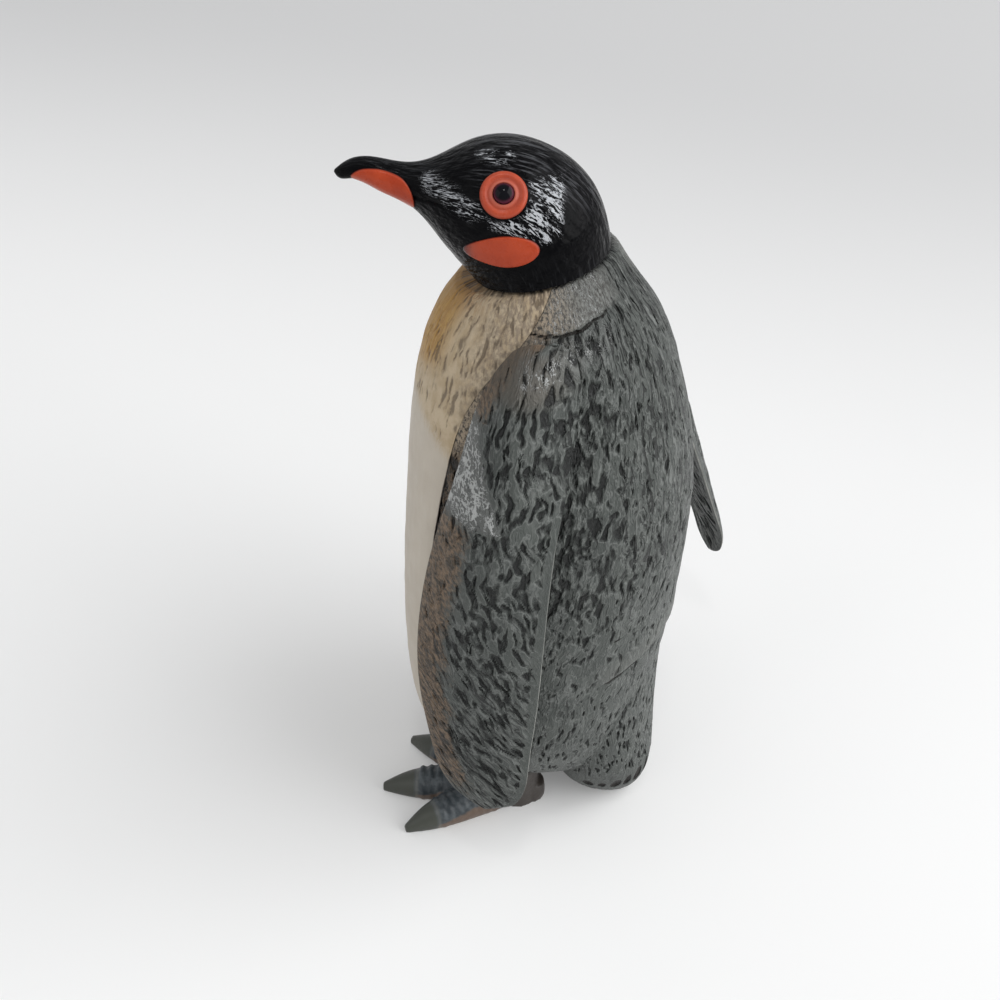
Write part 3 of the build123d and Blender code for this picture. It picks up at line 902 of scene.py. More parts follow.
flipper = {
    # height, front Y, back Y, middle X, half thickness, pull-in of the front and of the rear edge
    "ribs": [
        (66.32, 2.4, 5.4, 10.30, 0.6, 0.35, 0.8),
        (63.52, 0.0, 6.6, 12.70, 1.3, 0.85, 2.0),
        (60.0, -1.7, 7.2, 14.69, 1.7, 1.3, 3.1),
        (54.0, -2.8, 7.4, 16.49, 1.8, 1.1, 2.3),
        (46.0, -4.6, 7.2, 17.90, 1.7, 1.3, 1.5),
        (36.0, -6.1, 7.0, 18.50, 1.5, 1.1, 1.1),
        (26.0, -5.8, 6.8, 19.0, 1.3, 0.8, 0.8),
        (19.0, -4.2, 6.5, 19.41, 1.1, 0.5, 0.5),
        (14.48, -2.3, 5.8, 19.60, 0.8, 0.3, 0.3),
        (12.32, -0.2, 4.5, 19.80, 0.5, 0.2, 0.2),
    ],
    "topDrop": 1.0,  # the top ends at the shoulder seam
    "tipRounding": 1.5,
    "topRounding": 1.0,
    "crowding": 0.35,  # how much closer the rows stand at both ends
    "edgeShare": 0.22,  # thickness at the edges against the middle
    "shoulder": (2.7, 57.0),
    "twistRun": 20.0,
    "rows": 240,
    "columns": 260,
    # how far the vane lines lean back by height
    "slant": [(66.0, 0.0), (46.0, 0.0), (36.0, 2.2), (26.0, 8.0), (12.0, 20.0)],
    # how much closer the rear edge, the front edge and the top lie to the body near the shoulder
    "hug": (0.75, 0.3, 0.4),
}
slantLine = smoothLine(*zip(*flipper["slant"]))
flipperLine = smoothLine([r[0] for r in flipper["ribs"]], [r[1:] for r in flipper["ribs"]])


def roundedEnd(share):
    return np.sqrt(1 - (1 - np.clip(share, 0.02, 1)) ** 2)


# the left blade, not swung, with what its marks need: height, share of the chord, side, chord, thickness and
# the Y that a place would have on a flat blade
def bladeGrid(splay, twist):
    low, high = flipper["ribs"][-1][0], flipper["ribs"][0][0] - flipper["topDrop"]
    share = np.linspace(0, 1, flipper["rows"])[:, None]
    crowding = flipper["crowding"]
    height = low + (high - low) * (crowding * (0.5 - 0.5 * np.cos(math.pi * share)) + (1 - crowding) * share)
    turnRound = fullTurn(flipper["columns"])[None, :]
    front, rear, middle, thick, pullFront, pullRear = flipperLine(height)
    drop = np.maximum(0, flipper["shoulder"][1] - height)
    turn = np.radians(twist) * np.minimum(1, drop / flipper["twistRun"])
    lean = middle + drop * math.tan(math.radians(splay))
    chord = rear - front
    f = 0.5 - 0.5 * np.cos(turnRound) + 0 * height  # 0 at the leading edge, 1 at the trailing edge
    outer = np.sin(turnRound) + 0 * height
    tipRound = roundedEnd((height - low) / flipper["tipRounding"])
    topRound = roundedEnd((high - height) / flipper["topRounding"])
    edge = thick * flipper["edgeShare"] * (1 - 0.75 * np.where(f < 0.5, ease(52, 57, height), ease(44, 50, height)))
    bow = -pullFront * (1 - f) * (1 - 2 * f) - pullRear * f * (2 * f - 1)
    hugRear, hugFront, hugTop = flipper["hug"]
    bow -= hugRear * ease(47, 52, height) * ease(66, 62, height) * np.clip(2 * f - 1, 0, 1) ** 1.5
    bow -= hugFront * ease(52, 57, height) * ease(66, 62, height) * np.clip(1 - 2 * f, 0, 1) ** 1.5
    bow -= hugTop * ease(60, 65.5, height)
    half = (edge + (thick - edge) * 4 * f * (1 - f)) * (0.35 + 0.65 * tipRound * topRound)
    lift = bow + half * np.sign(outer) * np.abs(outer) ** 0.4
    behind = (0.5 + (0.5 - f) * tipRound * topRound) * chord
    x = lean + behind * np.sin(turn) + lift * np.cos(turn)
    y = rear - behind * np.cos(turn) + lift * np.sin(turn)
    return np.stack([x, y, height + 0 * x], -1), height, f, outer, chord, half, rear - behind


def buildFlipper(name, side, splay, twist, swing, seed):
    grid, height, f, outer, chord, half, flatY = bladeGrid(splay, twist)
    # the marks go on from those of the back, and lean back towards the tip
    bodyFront, bodyBack, _ = torsoLine(np.maximum(height, 24.0))
    around = np.arcsin(np.clip((flatY - (bodyFront + bodyBack) / 2) / ((bodyBack - bodyFront) / 2), -0.95, 0.95))
    place = meridian(around, height + 0 * around)
    place[..., 0] -= 0.9 * slantLine(height)
    place[..., 1] = 0.8 * (outer - 1) * ease(50, 44, height) + seed
    outside = ease(-0.15, 0.15, outer)
    fromLead = f * chord
    lower = ease(38, 28, height)
    merged = ease(48, 52, height)  # where the blade runs into the back without an edge
    clear = np.maximum(ease(0.25, 0.9, np.minimum(f, 1 - f) * chord), merged * (f > 0.5))
    mottle = latticeNoise(place / (2.0, 2.0, 4.0), 9 + side)
    fold = np.degrees(around)
    haze, scratch = shoulderWear(fold, height - shoulderLine(fold))
    wornEdge = ease(0.08, -0.08, f - 0.06 - 0.052 * (59.5 - height))
    worn = ease(60.0, 58.0, height) * ease(48.8, 50.0, height) * wornEdge * outside
    brown = ease(5.2, 1.8, fromLead + 1.2 * mottle) * ease(50.5, 47, height) * ease(12, 18, height) * outside
    brown = np.maximum(brown, ease(2.6, 0.4, fromLead + 0.8 * mottle) * ease(57.5, 60, height) * 0.8 * outside)
    pits = (0.94 - 0.10 * lower) * clear * (1 - 0.25 * haze) * (1 - 0.7 * worn) * (1 - 0.45 * brown)
    # painted highlight: a thin pale line along the lower front and rear edges of the blade
    edgeHighlightHere = np.where(f < 0.5, ease(46, 34, height), ease(51, 45, height))
    rim = ease(0.10, 0.03, np.abs(outer)) * edgeHighlightHere * (0.55 + 0.45 * np.clip(1.5 * mottle + 0.6, 0, 1))
    over = featherPits(place, pits)
    thinKept = ease(0.2, 0.6, half)  # no dents in the thin edges
    grid = raised(grid, (skinRelief(place) - dented(over) * thinKept) * clear)
    if side < 0:
        grid[..., 0] *= -1
    a = math.radians(swing)
    shoulderY, shoulderZ = flipper["shoulder"]
    relY, relZ = grid[..., 1] - shoulderY, grid[..., 2] - shoulderZ
    grid[..., 1] = shoulderY + relY * math.cos(a) - relZ * math.sin(a)
    grid[..., 2] = shoulderZ + relY * math.sin(a) + relZ * math.cos(a)
    fields = mantleFields(
        place, over, (0.45 + 0.40 * lower) * clear, seam=0 * f + 9.0, tan=brown, haze=haze * outside,
        scuff=np.clip(worn + scratch * outside, 0, 1), rim=rim,
    )
    return makePiece(name, *closedTube(grid, fields), mantlePaint)


leftFlipper = buildFlipper("Left_Flipper", 1, 0, 0, 0, 0.0)
rightFlipper = buildFlipper("Right_Flipper", -1, 10, 52, 16, 30.0)
print("flippers built")


# head with hood and bill

head = {
    # throat Y, Z, crown Y, Z, half width, from the bill tip to the neck rim
    "ribs": [
        (-19.85, 75.8, -19.78, 76.0, 0.14),
        (-19.7, 75.55, -19.5, 76.25, 0.4),
        (-18.2, 75.25, -17.7, 77.25, 0.95),
        (-15.6, 74.2, -15.2, 77.15, 1.45),
        (-12.7, 72.9, -12.1, 77.0, 2.2),
        (-11.35, 71.8, -9.9, 77.75, 3.7),
        (-10.3, 70.6, -7.0, 79.1, 5.5),
        (-9.2, 69.3, -3.0, 79.55, 6.8),
        (-8.3, 68.2, 1.6, 77.9, 7.3),
        (-7.5, 67.35, 4.75, 74.5, 7.5),
        (-6.8, 66.58, 6.15, 70.12, 7.5),
    ],
    "turn": 18.6,
    "rows": 260,
    "columns": 260,
    "eye": (6.08, -4.18, 76.75),
    "mouth": [(-12.6, 74.4), (-11.7, 74.5), (-8.4, 75.1), (-7.0, 75.0)],  # Y and height of the gape line
    "mouthDepth": 0.2,
    "combRise": 0.035,
}


# a piece made on the straight head's left side, mirrored for side -1 and turned with the head
def headPiece(name, side, points, faces, fields, paint):
    tilt = math.radians(torso["neckTilt"])
    axis = Vector((0, -math.sin(tilt), math.cos(tilt)))
    spin = np.array(Matrix.Rotation(math.radians(head["turn"]), 3, axis))
    centre = np.array([0.0, *torso["neckPoint"]])
    return makePiece(name, (points * (side, 1, 1) - centre) @ spin.T + centre, faces, fields, paint)


def headGrid():
    ribs = np.array(head["ribs"])
    middles = np.stack([(ribs[:, 0] + ribs[:, 2]) / 2, (ribs[:, 1] + ribs[:, 3]) / 2], 1)
    run = np.append(0, np.cumsum(np.maximum(np.linalg.norm(np.diff(middles, axis=0), axis=1), 0.2)))
    line = smoothLine(run, ribs)
    along = np.linspace(0, 1, head["rows"])[:, None] ** 0.9 * run[-1]
    angle = fullTurn(head["columns"])[None, :]
    throatY, throatZ, crownY, crownZ, half = line(along)
    up = np.cos(angle)
    y = (throatY + crownY) / 2 + (crownY - throatY) / 2 * up
    z = (throatZ + crownZ) / 2 + (crownZ - throatZ) / 2 * up
    x = half * np.sin(angle)
    return along + 0 * angle, angle + 0 * along, np.stack([x, y, z], -1)


headAlong, headAngle, headSkin = headGrid()


def buildHood():
    x, y, z = np.moveaxis(headSkin, -1, 0)
    comb = np.stack([headAlong * 1.6, 9 * np.cos(headAngle), 9 * np.sin(headAngle)], -1)
    rise = head["combRise"] * latticeNoise(comb / (5.0, 0.8, 0.8), 201) * ease(-13, -8, y)
    mouth = np.interp(y, *zip(*head["mouth"]))
    rise -= head["mouthDepth"] * bell(z, mouth, 0.16) * ease(-7.2, -8.6, y) * ease(-12.9, -12.3, y)
    eyeX, eyeY, eyeZ = head["eye"]
    fromEye = np.sqrt((np.abs(x) - eyeX) ** 2 + (y - eyeY) ** 2 + (z - eyeZ) ** 2)
    # where the painted glints go: behind the eye, on the lores and on the brow
    behind = ease(-2.6, -1.2, y) * ease(1.9, 0.4, y) * ease(72.4, 73.6, z) * ease(78.4, 77.2, z)
    lores = ease(-12.4, -11.2, y) * ease(0.6, -1.0, y) * bell(z, 76.5 - 0.25 * (y + 12), 0.95)
    brow = ease(-7.6, -6.2, y) * ease(-2.6, -4.0, y) * bell(z, 79.0, 0.45)
    silver = np.clip(0.85 * behind + 0.9 * lores + 0.7 * brow, 0, 1)
    silver = silver * ease(1.0, 2.2, np.abs(x)) * ease(2.15, 2.5, fromEye)
    # painted sheen with some dust on the crown, a painted reflection of the sky on top of the upper bill, and
    # painted sheen along the hood's lower edge
    dust = ease(-9, -5, y) * ease(75.0, 78.5, z + 0.45 * np.maximum(0, y)) * 0.95 + 0.03
    dust += 0.6 * ease(0.4, 0.9, np.cos(headAngle)) * ease(-19.6, -18.4, y) * ease(-8, -12, y)
    dust = np.clip(dust + 0.12 * ease(70.8, 69.4, z - 0.27 * y), 0, 1)
    whole = closedTube(raised(headSkin, rise), {"silver": silver, "dust": dust, "comb": comb})
    return headPiece("Hood", 1, *whole, hoodGloss)


hood = buildHood()
skinPoints, skinFaces, _ = closedTube(headSkin, {})
headTree = BVHTree.FromPolygons([Vector(p) for p in skinPoints], skinFaces)


# X of the head's left side at a place seen from the side
def sideOf(y, z):
    hit = headTree.ray_cast(Vector((30, y, z)), Vector((-1, 0, 0)))[0]
    if hit is None:
        hit = headTree.find_nearest(Vector((2, y, z)))[0]
    return hit.x


# a raised patch that lies on the head's skin inside an outline seen from the side
def buildPatch(name, side, outline, patch, shades):
    outline = np.array(outline)
    count = len(outline)
    centre = outline.mean(0)
    flat = np.linspace(0.12, 0.86, 9)
    shares = np.append(flat, [0.92, 0.96, 0.985, 1.0, 1.0])  # the last ring lies inside the head
    rises = np.append(np.ones_like(flat), [0.97, 0.82, 0.5, 0.0, -patch["depth"] / patch["rise"]]) * patch["rise"]
    rings, tints = [], []
    for share, rise in zip(shares, rises):
        spots = centre + (outline - centre) * share
        rings.append([(sideOf(y, z) + rise, y, z) for y, z in spots])
        tints.append(shades(spots, share))
    pale, edge = (np.array(tint) for tint in zip(*tints))
    points, faces, fields = closedTube(np.array(rings), {"pale": pale, "edge": edge})
    points[-2, 0] = points[:count, 0].mean()
    return headPiece(name, side, points, faces, fields, orangeGloss)


billPlate = {
    "outline": [
        (-18.25, 75.72), (-17.7, 76.3), (-16.65, 76.61), (-15.5, 76.62), (-14.4, 76.38), (-13.4, 75.95),
        (-12.75, 75.25), (-12.35, 74.2), (-12.4, 73.2), (-13.6, 73.6), (-15.5, 74.42), (-17.1, 75.05),
    ],
    "throat": [(-18.2, 75.25), (-15.6, 74.2), (-12.7, 72.9)],
    "points": 120,
    "rise": 0.2,
    "depth": 0.5,
}
cheekPatch = {"centre": (-4.2, 71.65), "half": (3.5, 1.55), "tilt": 9.0, "points": 96, "rise": 0.2, "depth": 0.5}


# a closed smooth line through the plate's corners
def plateOutline():
    points = np.array(billPlate["outline"] + billPlate["outline"][:1])
    run = np.append(0, np.cumsum(np.linalg.norm(np.diff(points, axis=0), axis=1)))
    wrapped = np.vstack([points[-4:-1], points, points[1:4]])
    stretch = np.concatenate([run[-4:-1] - run[-1], run, run[1:4] + run[-1]])
    return smoothLine(stretch, wrapped)(np.linspace(0, run[-1], billPlate["points"], endpoint=False)).T


def plateShades(spots, share):
    # pale pink along the plate's lower edge, near the throat line: painted rim light
    throat = np.interp(spots[:, 0], *zip(*billPlate["throat"]))
    pale = 0.75 * ease(1.0, 0.3, spots[:, 1] - throat)
    return pale, np.full(len(spots), 0.9 * ease(0.965, 1.0, share))


def cheekShades(spots, share):
    front = ease(-6.0, -7.6, spots[:, 0])
    return 0.25 * front, np.clip(0.75 * ease(0.965, 1.0, share) + 0.8 * front**2, 0, 1)


# an ellipse drawn out to a point in front
def cheekOutline():
    t = fullTurn(cheekPatch["points"])
    along, tall = cheekPatch["half"]
    u = along * np.cos(t)
    v = tall * np.sin(t) * (1 - 0.18 * ease(0.2, -1.0, np.cos(t)))
    a = math.radians(cheekPatch["tilt"])
    y, z = cheekPatch["centre"]
    return np.stack([y + u * math.cos(a) - v * math.sin(a), z + u * math.sin(a) + v * math.cos(a)], 1)


eyeRing = {
    # radius and height over the head's skin round the ring's section, from the bore outwards
    "section": [
        (0.93, -0.6), (2.15, -0.6), (2.15, 0.0), (2.13, 0.12), (2.05, 0.23), (1.9, 0.29), (1.74, 0.28), (1.6, 0.22),
        (1.48, 0.15), (1.38, 0.13), (1.27, 0.16), (1.15, 0.2), (1.04, 0.2), (0.96, 0.14), (0.93, 0.02),
    ],
    "up": 37.3,
    "forward": 2.0,
    "turns": 96,
}
pupilDome = {"radius": 0.91, "base": -0.6, "shoulder": 0.2, "rise": 0.6, "rows": 14}


def eyeBasis():
    up, forward = math.radians(eyeRing["up"]), math.radians(eyeRing["forward"])
    axis = np.array([math.cos(up) * math.cos(forward), -math.cos(up) * math.sin(forward), math.sin(up)])
    across = np.cross([0, 0, 1.0], axis)
    across /= np.linalg.norm(across)
    return across, np.cross(axis, across), axis


# turns a section about the eye's axis, its heights over the axis' foot or over the head's skin
def eyeLathe(section, onSkin):
    across, lift, axis = eyeBasis()
    turn = fullTurn(eyeRing["turns"])
    spoke = np.cos(turn)[:, None] * across + np.sin(turn)[:, None] * lift
    rows = []
    for radius, tall in section:
        ring = np.array(head["eye"]) + radius * spoke
        if onSkin:
            ring = np.array([headTree.ray_cast(Vector(p + 5 * axis), Vector(-axis))[0] for p in ring])
        rows.append(ring + tall * axis)
    return np.array(rows)


def buildEyeRing(name, side):
    section = eyeRing["section"]
    grid = eyeLathe(section, True)
    rows, columns = grid.shape[:2]
    radius = np.array([p[0] for p in section])
    index = np.arange(rows * columns).reshape(rows, columns)
    below, beside = np.roll(index, -1, axis=0), np.roll(index, -1, axis=1)
    faces = np.stack([index, beside, np.roll(beside, -1, axis=0), below], -1).reshape(-1, 4).tolist()
    # pale pink: a painted highlight on the inner lip at radius 1.1, over a slightly paler ring
    pale = np.repeat(bell(radius, 1.1, 0.16) * 0.4 + 0.12, columns)
    edge = 0.8 * ease(1.0, 0.93, radius) + 0.2 * bell(radius, 1.4, 0.07) + 0.6 * ease(2.12, 2.15, radius)
    fields = {"pale": pale, "edge": np.repeat(edge, columns)}
    return headPiece(name, side, grid.reshape(-1, 3), faces, fields, orangeGloss)


def buildPupil(name, side):
    radius, shoulder, top = (pupilDome[key] for key in ("radius", "shoulder", "rise"))
    section = [(radius, pupilDome["base"]), (radius, shoulder)]
    for bend in np.linspace(0, math.pi / 2, pupilDome["rows"])[1:-1]:
        section.append((radius * math.cos(bend), shoulder + (top - shoulder) * math.sin(bend)))
    edge = ease(0.62, 0.9, np.array(section)[:, :1])
    points, faces, fields = closedTube(eyeLathe(section, False), {"edge": np.repeat(edge, eyeRing["turns"], 1)})
    points[-1] = np.array(head["eye"]) + eyeBasis()[2] * top
    return headPiece(name, side, points, faces, fields, pupilGloss)


inlays = {}
for word, side in (("Left", 1), ("Right", -1)):
    for inlay in (
        buildPatch(f"{word}_Bill_Plate", side, plateOutline(), billPlate, plateShades),
        buildPatch(f"{word}_Cheek_Patch", side, cheekOutline(), cheekPatch, cheekShades),
        buildEyeRing(f"{word}_Eye_Ring", side),
        buildPupil(f"{word}_Pupil", side),
    ):
        inlays[inlay.name] = inlay
print("head and inlays built")


# feet

foot = {
    "ankle": (6.2, 1.6),
    "turn": 18.7,
    # angle, length, half width of each toe
    "toes": [(-30.6, 15.0, 2.1), (0.0, 15.9, 2.3), (26.3, 14.4, 2.1)],
    "rootHeight": 3.9,
    "lengthShares": [0.0, 0.35, 0.62, 0.82, 1.0],
    "widthShares": [1.0, 1.0, 0.92, 0.66, 0.2],
    "heightShares": [1.0, 0.92, 0.78, 0.6, 0.22],
    "clawShare": 0.76,
    "sink": 0.35,
    "webShare": 0.62,
    "webHollow": 0.86,  # how far the web's edge reaches between two toes
    "webThickness": 1.3,
    "heelBack": 3.3,
    "heelHalfWidth": 1.75,
    "heelHeights": (0.0, 1.0, 2.2, 2.4),
    "heelShares": (1.0, 1.0, 0.92, 0.6),
    "ankleRadius": 2.4,
    "ankleFoot": 2.5,
    "ankleHeights": (0.0, 1.2, 2.6, 4.0, 5.4),
    "ridges": 8,
    "ridgeThickness": 0.26,
    "ridgeSpan": (0.26, 0.70),  # where along a toe the ridges start and end
    "ridgeTaper": 0.82,
    "voxel": 0.2,
    "calmFactor": 0.5,
    "calmRounds": 2,
    "turns": 48,  # points round a toe and the ankle
    "heelTurns": 40,
    "toeRows": 60,
}


ridgeInputs = {
    "Spine": "Geometry", "Ridge Count": "Int", "Ring Radius": "Float",
    "Ridge Thickness": "Float", "Tip Scale": "Float", "Finish": "Material",
}


# cross ridges along a toe: rings on points of the toe's spine, each scaled by the toe's width there
def ridgeTree():
    tree = bpy.data.node_groups.new("toeRidges", "GeometryNodeTree")
    for label, kind in ridgeInputs.items():
        tree.interface.new_socket(name=label, in_out="INPUT", socket_type="NodeSocket" + kind)
    tree.interface.new_socket(name="Ridges", in_out="OUTPUT", socket_type="NodeSocketGeometry")
    sockets = tree.nodes.new("NodeGroupInput").outputs
    spine, count, radius, thickness, tipScale, finish = (Wire(sockets[label]) for label in ridgeInputs)
    circle = "GeometryNodeCurvePrimitiveCircle"
    ring = addNode(tree, circle, "Curve", Resolution=20, Radius=radius)
    section = addNode(tree, circle, "Curve", Resolution=8, Radius=thickness)
    band = addNode(tree, "GeometryNodeCurveToMesh", "Mesh", Curve=ring, Profile_Curve=section)
    line = addNode(tree, "GeometryNodeMeshToCurve", "Curve", Mesh=spine)
    spots = addNode(tree, "GeometryNodeResampleCurve", "Curve", Curve=line, Count=count)
    tangent = addNode(tree, "GeometryNodeInputTangent", "Tangent")
    aim = addNode(tree, "FunctionNodeAlignRotationToVector", "Rotation", Vector=tangent)
    aim.socket.node.axis = "Z"
    along = addNode(tree, "GeometryNodeSplineParameter", "Factor")
    taper = addNode(tree, "ShaderNodeMapRange", "Result", Value=along, To_Min=1.0, To_Max=tipScale)
    rings = addNode(
        tree, "GeometryNodeInstanceOnPoints", "Instances", Points=spots, Instance=band, Rotation=aim, Scale=taper
    )
    real = addNode(tree, "GeometryNodeRealizeInstances", "Geometry", Geometry=rings)
    painted = addNode(tree, "GeometryNodeSetMaterial", "Geometry", Geometry=real, Material=finish)
    feed(tree.nodes.new("NodeGroupOutput").inputs["Ridges"], painted)
    return tree


toeRidges = ridgeTree()


# points and faces that an object's modifiers make; the object goes
def takenMesh(thing):
    graph = bpy.context.evaluated_depsgraph_get()
    mesh = bpy.data.meshes.new_from_object(
        thing.evaluated_get(graph), preserve_all_data_layers=True, depsgraph=graph
    )
    points = np.array([v.co for v in mesh.vertices])
    faces = [list(p.vertices) for p in mesh.polygons]
    bpy.data.objects.remove(thing)
    bpy.data.meshes.remove(mesh)
    return points, faces


def toeHeight(share):
    return np.interp(share, foot["lengthShares"], foot["heightShares"]) * foot["rootHeight"]


# ridge rings of one toe in the foot's own frame, in mm
def toeRidgeMesh(length, halfWidth):
    spineMesh = bpy.data.meshes.new("toeSpine")
    shares = np.linspace(*foot["ridgeSpan"], 6)
    spots = [(0.0, -s * length * metre, (t * 0.42) * metre) for s, t in zip(shares, toeHeight(shares))]
    spineMesh.from_pydata(spots, [(i, i + 1) for i in range(len(spots) - 1)], [])
    spine = linked("toeSpine", spineMesh)
    modifier = spine.modifiers.new("ridges", "NODES")
    modifier.node_group = toeRidges
    sizes = {
        "Ridge Count": foot["ridges"], "Ring Radius": (halfWidth - 0.02) * metre,
        "Ridge Thickness": foot["ridgeThickness"] * metre, "Tip Scale": foot["ridgeTaper"], "Finish": footPaint,
    }
    for item in toeRidges.interface.items_tree:
        if item.in_out == "INPUT" and item.name in sizes:
            modifier[item.identifier] = sizes[item.name]
    points, faces = takenMesh(spine)
    return points / metre, faces


def turned(points, degrees):
    a = math.radians(degrees)
    spin = np.array([[math.cos(a), -math.sin(a), 0], [math.sin(a), math.cos(a), 0], [0, 0, 1]])
    return points @ spin.T


def toeTube(length, halfWidth):
    shares = np.linspace(0, 1, foot["toeRows"])
    line = smoothLine(foot["lengthShares"], np.stack([foot["widthShares"], foot["heightShares"]], 1))
    wide, tall = line(shares[:, None])
    tall = foot["rootHeight"] * tall
    half = tall / (2 - foot["sink"])
    t = fullTurn(foot["turns"])[None, :]
    y = -(shares * length)[:, None] + 0 * t
    z = tall - half + half * np.sin(t)
    return closedTube(np.stack([halfWidth * wide * np.cos(t), y, z], -1), {})[:2]


# a closed stack of level rings about an upright axis
def ringStack(radii, heights, turns, y=0.0):
    t = fullTurn(turns)[None, :]
    r, z = np.array(radii)[:, None], np.array(heights)[:, None]
    return closedTube(np.stack([r * np.cos(t), y + r * np.sin(t), z + 0 * t], -1), {})[:2]


def ankleTube():
    wide, narrow = foot["ankleFoot"], foot["ankleRadius"]
    radii = (wide, wide * 0.97, (wide + narrow) / 2, narrow, narrow)
    return ringStack(radii, foot["ankleHeights"], foot["turns"])


def heelPad():
    half = foot["heelHalfWidth"]
    radii = [half * share for share in foot["heelShares"]]
    return ringStack(radii, foot["heelHeights"], foot["heelTurns"], foot["heelBack"] - half)


def webSheet():
    half, corner = foot["heelHalfWidth"], foot["heelBack"] - foot["heelHalfWidth"]
    tips = []
    for angle, length, _ in foot["toes"]:
        a, reach = math.radians(angle), foot["webShare"] * length
        tips.append((reach * math.sin(a), -reach * math.cos(a)))
    edge = [(-half, corner), tips[0]]
    for first, second in zip(tips, tips[1:]):
        edge += [tuple((p + q) / 2 * foot["webHollow"] for p, q in zip(first, second)), second]
    edge += [(half, corner), (0.0, foot["heelBack"])]
    count = len(edge)
    points = np.array([(x, y, z) for z in (0.0, foot["webThickness"]) for x, y in edge])
    faces = [list(range(count))[::-1], list(range(count, 2 * count))]
    faces += [[i, (i + 1) % count, (i + 1) % count + count, i + count] for i in range(count)]
    return points, faces


# all solids of a foot melted into one skin
def meltedFoot():
    parts = [ankleTube(), webSheet(), heelPad()]
    for angle, length, half in foot["toes"]:
        for points, faces in (toeTube(length, half), toeRidgeMesh(length, half)):
            parts.append((turned(points, angle), faces))
    points, faces, first = [], [], 0
    for somePoints, someFaces in parts:
        points.append(somePoints)
        faces += [[i + first for i in face] for face in someFaces]
        first += len(somePoints)
    blank = linked("footBlank", outwardMesh("footBlank", np.vstack(points), faces))
    melt = blank.modifiers.new("melt", "REMESH")
    melt.mode = "VOXEL"
    melt.voxel_size = foot["voxel"]
    calm = blank.modifiers.new("calm", "SMOOTH")
    calm.factor = foot["calmFactor"]
    calm.iterations = foot["calmRounds"]
    points, faces = takenMesh(blank)
    points[:, 2] = np.maximum(points[:, 2], 0.0)
    return points, faces


footSkin = meltedFoot()


def buildFoot(name, side):
    points, faces = footSkin
    claw = band = toeNear = np.zeros(len(points))
    for angle, length, half in foot["toes"]:
        local = turned(points, -angle)
        share = -local[:, 1] / length
        onToe = ease(half * 1.05, half * 0.8, np.abs(local[:, 0]))
        claw = np.maximum(claw, onToe * ease(foot["clawShare"] - 0.012, foot["clawShare"] + 0.012, share))
        band = np.maximum(band, 0.6 * onToe * bell(share, foot["clawShare"] - 0.015, 0.014))
        high = points[:, 2] / np.maximum(toeHeight(share), 0.3)
        toeNear = np.maximum(toeNear, onToe * ease(0.28, 0.55, high))
    # the ankle and the heel take the ankle tone: painted shade under the body
    ankle = ease(4.4, 3.2, np.hypot(points[:, 0], points[:, 1])) + ease(0.5, 2.5, points[:, 1])
    fields = {"claw": claw, "band": band, "web": (1 - toeNear) * (1 - claw), "ankle": np.clip(ankle, 0, 1)}
    placed = turned(points, foot["turn"]) + (*foot["ankle"], 0.0)
    return makePiece(name, placed * (side, 1, 1), faces, fields, footPaint)


leftFoot = buildFoot("Left_Foot", 1)
rightFoot = buildFoot("Right_Foot", -1)
print("feet built")


# what each piece rides on, stands for and is painted with
fittings = [
    (breast, "torso", "breast_half", "breast_paint"),
    (back, "torso", "back_half", "mantle_paint"),
    (tailFan, "torso", "tail", "mantle_paint"),
    (leftFoot, "torso", "left_foot", "foot_paint"),
    (rightFoot, "torso", "right_foot", "foot_paint"),
    (hood, "head_unit", "head", "hood_gloss"),
    (leftFlipper, "left_wing", "left_flipper", "mantle_paint"),
    (rightFlipper, "right_wing", "right_flipper", "mantle_paint"),
]
for key, piece in inlays.items():
    paint = "pupil_gloss" if key.endswith("Pupil") else "orange_gloss"
    fittings.append((piece, "head_unit", key.lower(), paint))
for piece, body, node, paint in fittings:
    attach(piece, body)
    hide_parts(node)
print("pieces fitted to their bodies")


# stage

stage = {
    "floorTone": (0.77, 0.77, 0.765),
    "farTone": (0.54, 0.54, 0.54),
    "farSpan": (-0.03, -0.22),  # X where the floor starts to darken and where it ends
    "floorLift": 0.20,  # extra paleness of the floor for the camera and for reflections, which lights nothing
    "floorSize": 3.0,
    "worldTone": (0.97, 0.98, 1.0),
    "worldLight": 0.49,
    # place, power and size of each lamp
    "lamps": {
        "Key": ((-0.08, 0.75, 0.62), 10.4, 1.1),
        "Fill": ((0.55, -0.45, 0.6), 0.8, 0.6),
        "Glint": ((0.25, 0.05, 0.75), 0.3, 0.06),
    },
    "lampAim": (0.0, -0.012, 0.04),
}


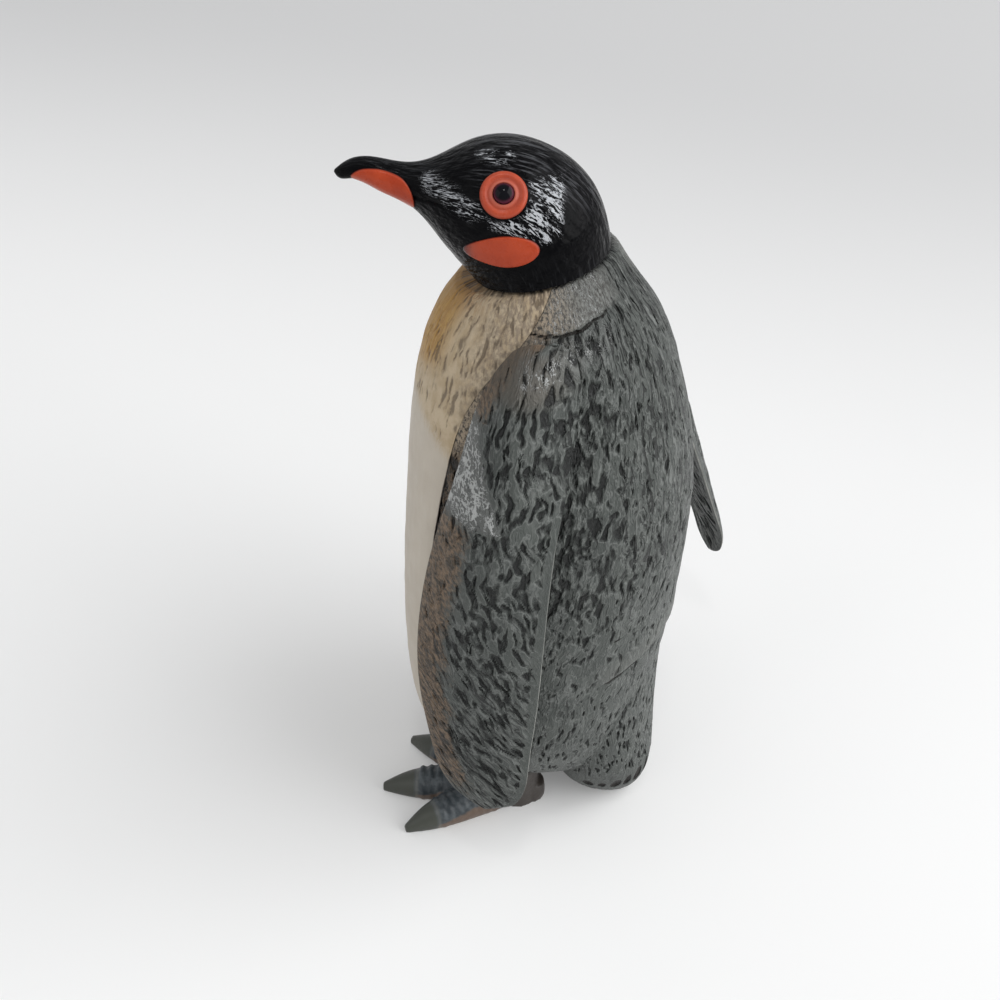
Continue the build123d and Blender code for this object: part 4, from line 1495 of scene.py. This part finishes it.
def buildFloor():
    half = stage["floorSize"] / 2
    mesh = bpy.data.meshes.new("Floor")
    mesh.from_pydata([(-half, -half, 0), (half, -half, 0), (half, half, 0), (-half, half, 0)], [], [(0, 1, 2, 3)])
    material, tree, shader, _ = newMaterial("floorSheet", Roughness=0.7, Specular_IOR_Level=0.2)
    spot = objectSpot(tree)
    tone = stage["floorTone"]
    colour = mixColour(noiseOf(spot, 30.0, 2.0, 0.5), tuple(0.985 * c for c in tone), tone)
    away = addNode(tree, "ShaderNodeSeparateXYZ", "X", Vector=spot)
    colour = mixColour(ranged(away, *stage["farSpan"]), colour, stage["farTone"])
    feed(shader.inputs["Base Color"], colour)
    feed(shader.inputs["Emission Color"], colour)
    rays = tree.nodes.new("ShaderNodeLightPath").outputs
    seen, glossy, through = (Wire(rays[f"Is {kind} Ray"]) for kind in ("Camera", "Glossy", "Transmission"))
    seen = combined("MAXIMUM", combined("MAXIMUM", seen, glossy), through)
    feed(shader.inputs["Emission Strength"], seen * stage["floorLift"])
    mesh.materials.append(material)
    floor = linked("Floor", mesh)


def addLamp(name, place, power, size):
    lamp = bpy.data.lights.new(name, "AREA")
    lamp.energy = power
    lamp.size = size
    aim = Vector(stage["lampAim"]) - Vector(place)
    turn = aim.to_track_quat("-Z", "Y").to_matrix().to_4x4()
    linked(name, lamp).matrix_world = Matrix.Translation(place) @ turn


def buildWorld():
    world = bpy.data.worlds.new("Studio")
    world.use_nodes = True
    background = world.node_tree.nodes["Background"]
    background.inputs["Color"].default_value = (*stage["worldTone"], 1.0)
    background.inputs["Strength"].default_value = stage["worldLight"]
    bpy.context.scene.world = world


view = {
    "place": (0.1209, 0.0231, 0.1375),
    "right": (-0.3276, 0.9445, 0.0252),
    "down": (0.5757, 0.2206, -0.7873),
    "forward": (-0.7491, -0.2434, -0.6161),
    "lens": 54.0,
    "sensor": 36.0,
    "near": 0.01,
}


def buildCamera():
    camera = bpy.data.cameras.new("Camera")
    camera.lens = view["lens"]
    camera.sensor_width = view["sensor"]
    camera.clip_start = view["near"]
    holder = linked("Camera", camera)
    columns = [Vector(view["right"]), -Vector(view["down"]), -Vector(view["forward"])]
    turn = Matrix([[c[i] for c in columns] for i in range(3)]).to_4x4()
    holder.matrix_world = Matrix.Translation(view["place"]) @ turn
    bpy.context.scene.camera = holder


buildFloor()
buildWorld()
for name, settings in stage["lamps"].items():
    addLamp(name, *settings)
buildCamera()
bpy.context.scene.view_settings.view_transform = "Standard"
print("stage set")

bpy.context.view_layer.update()
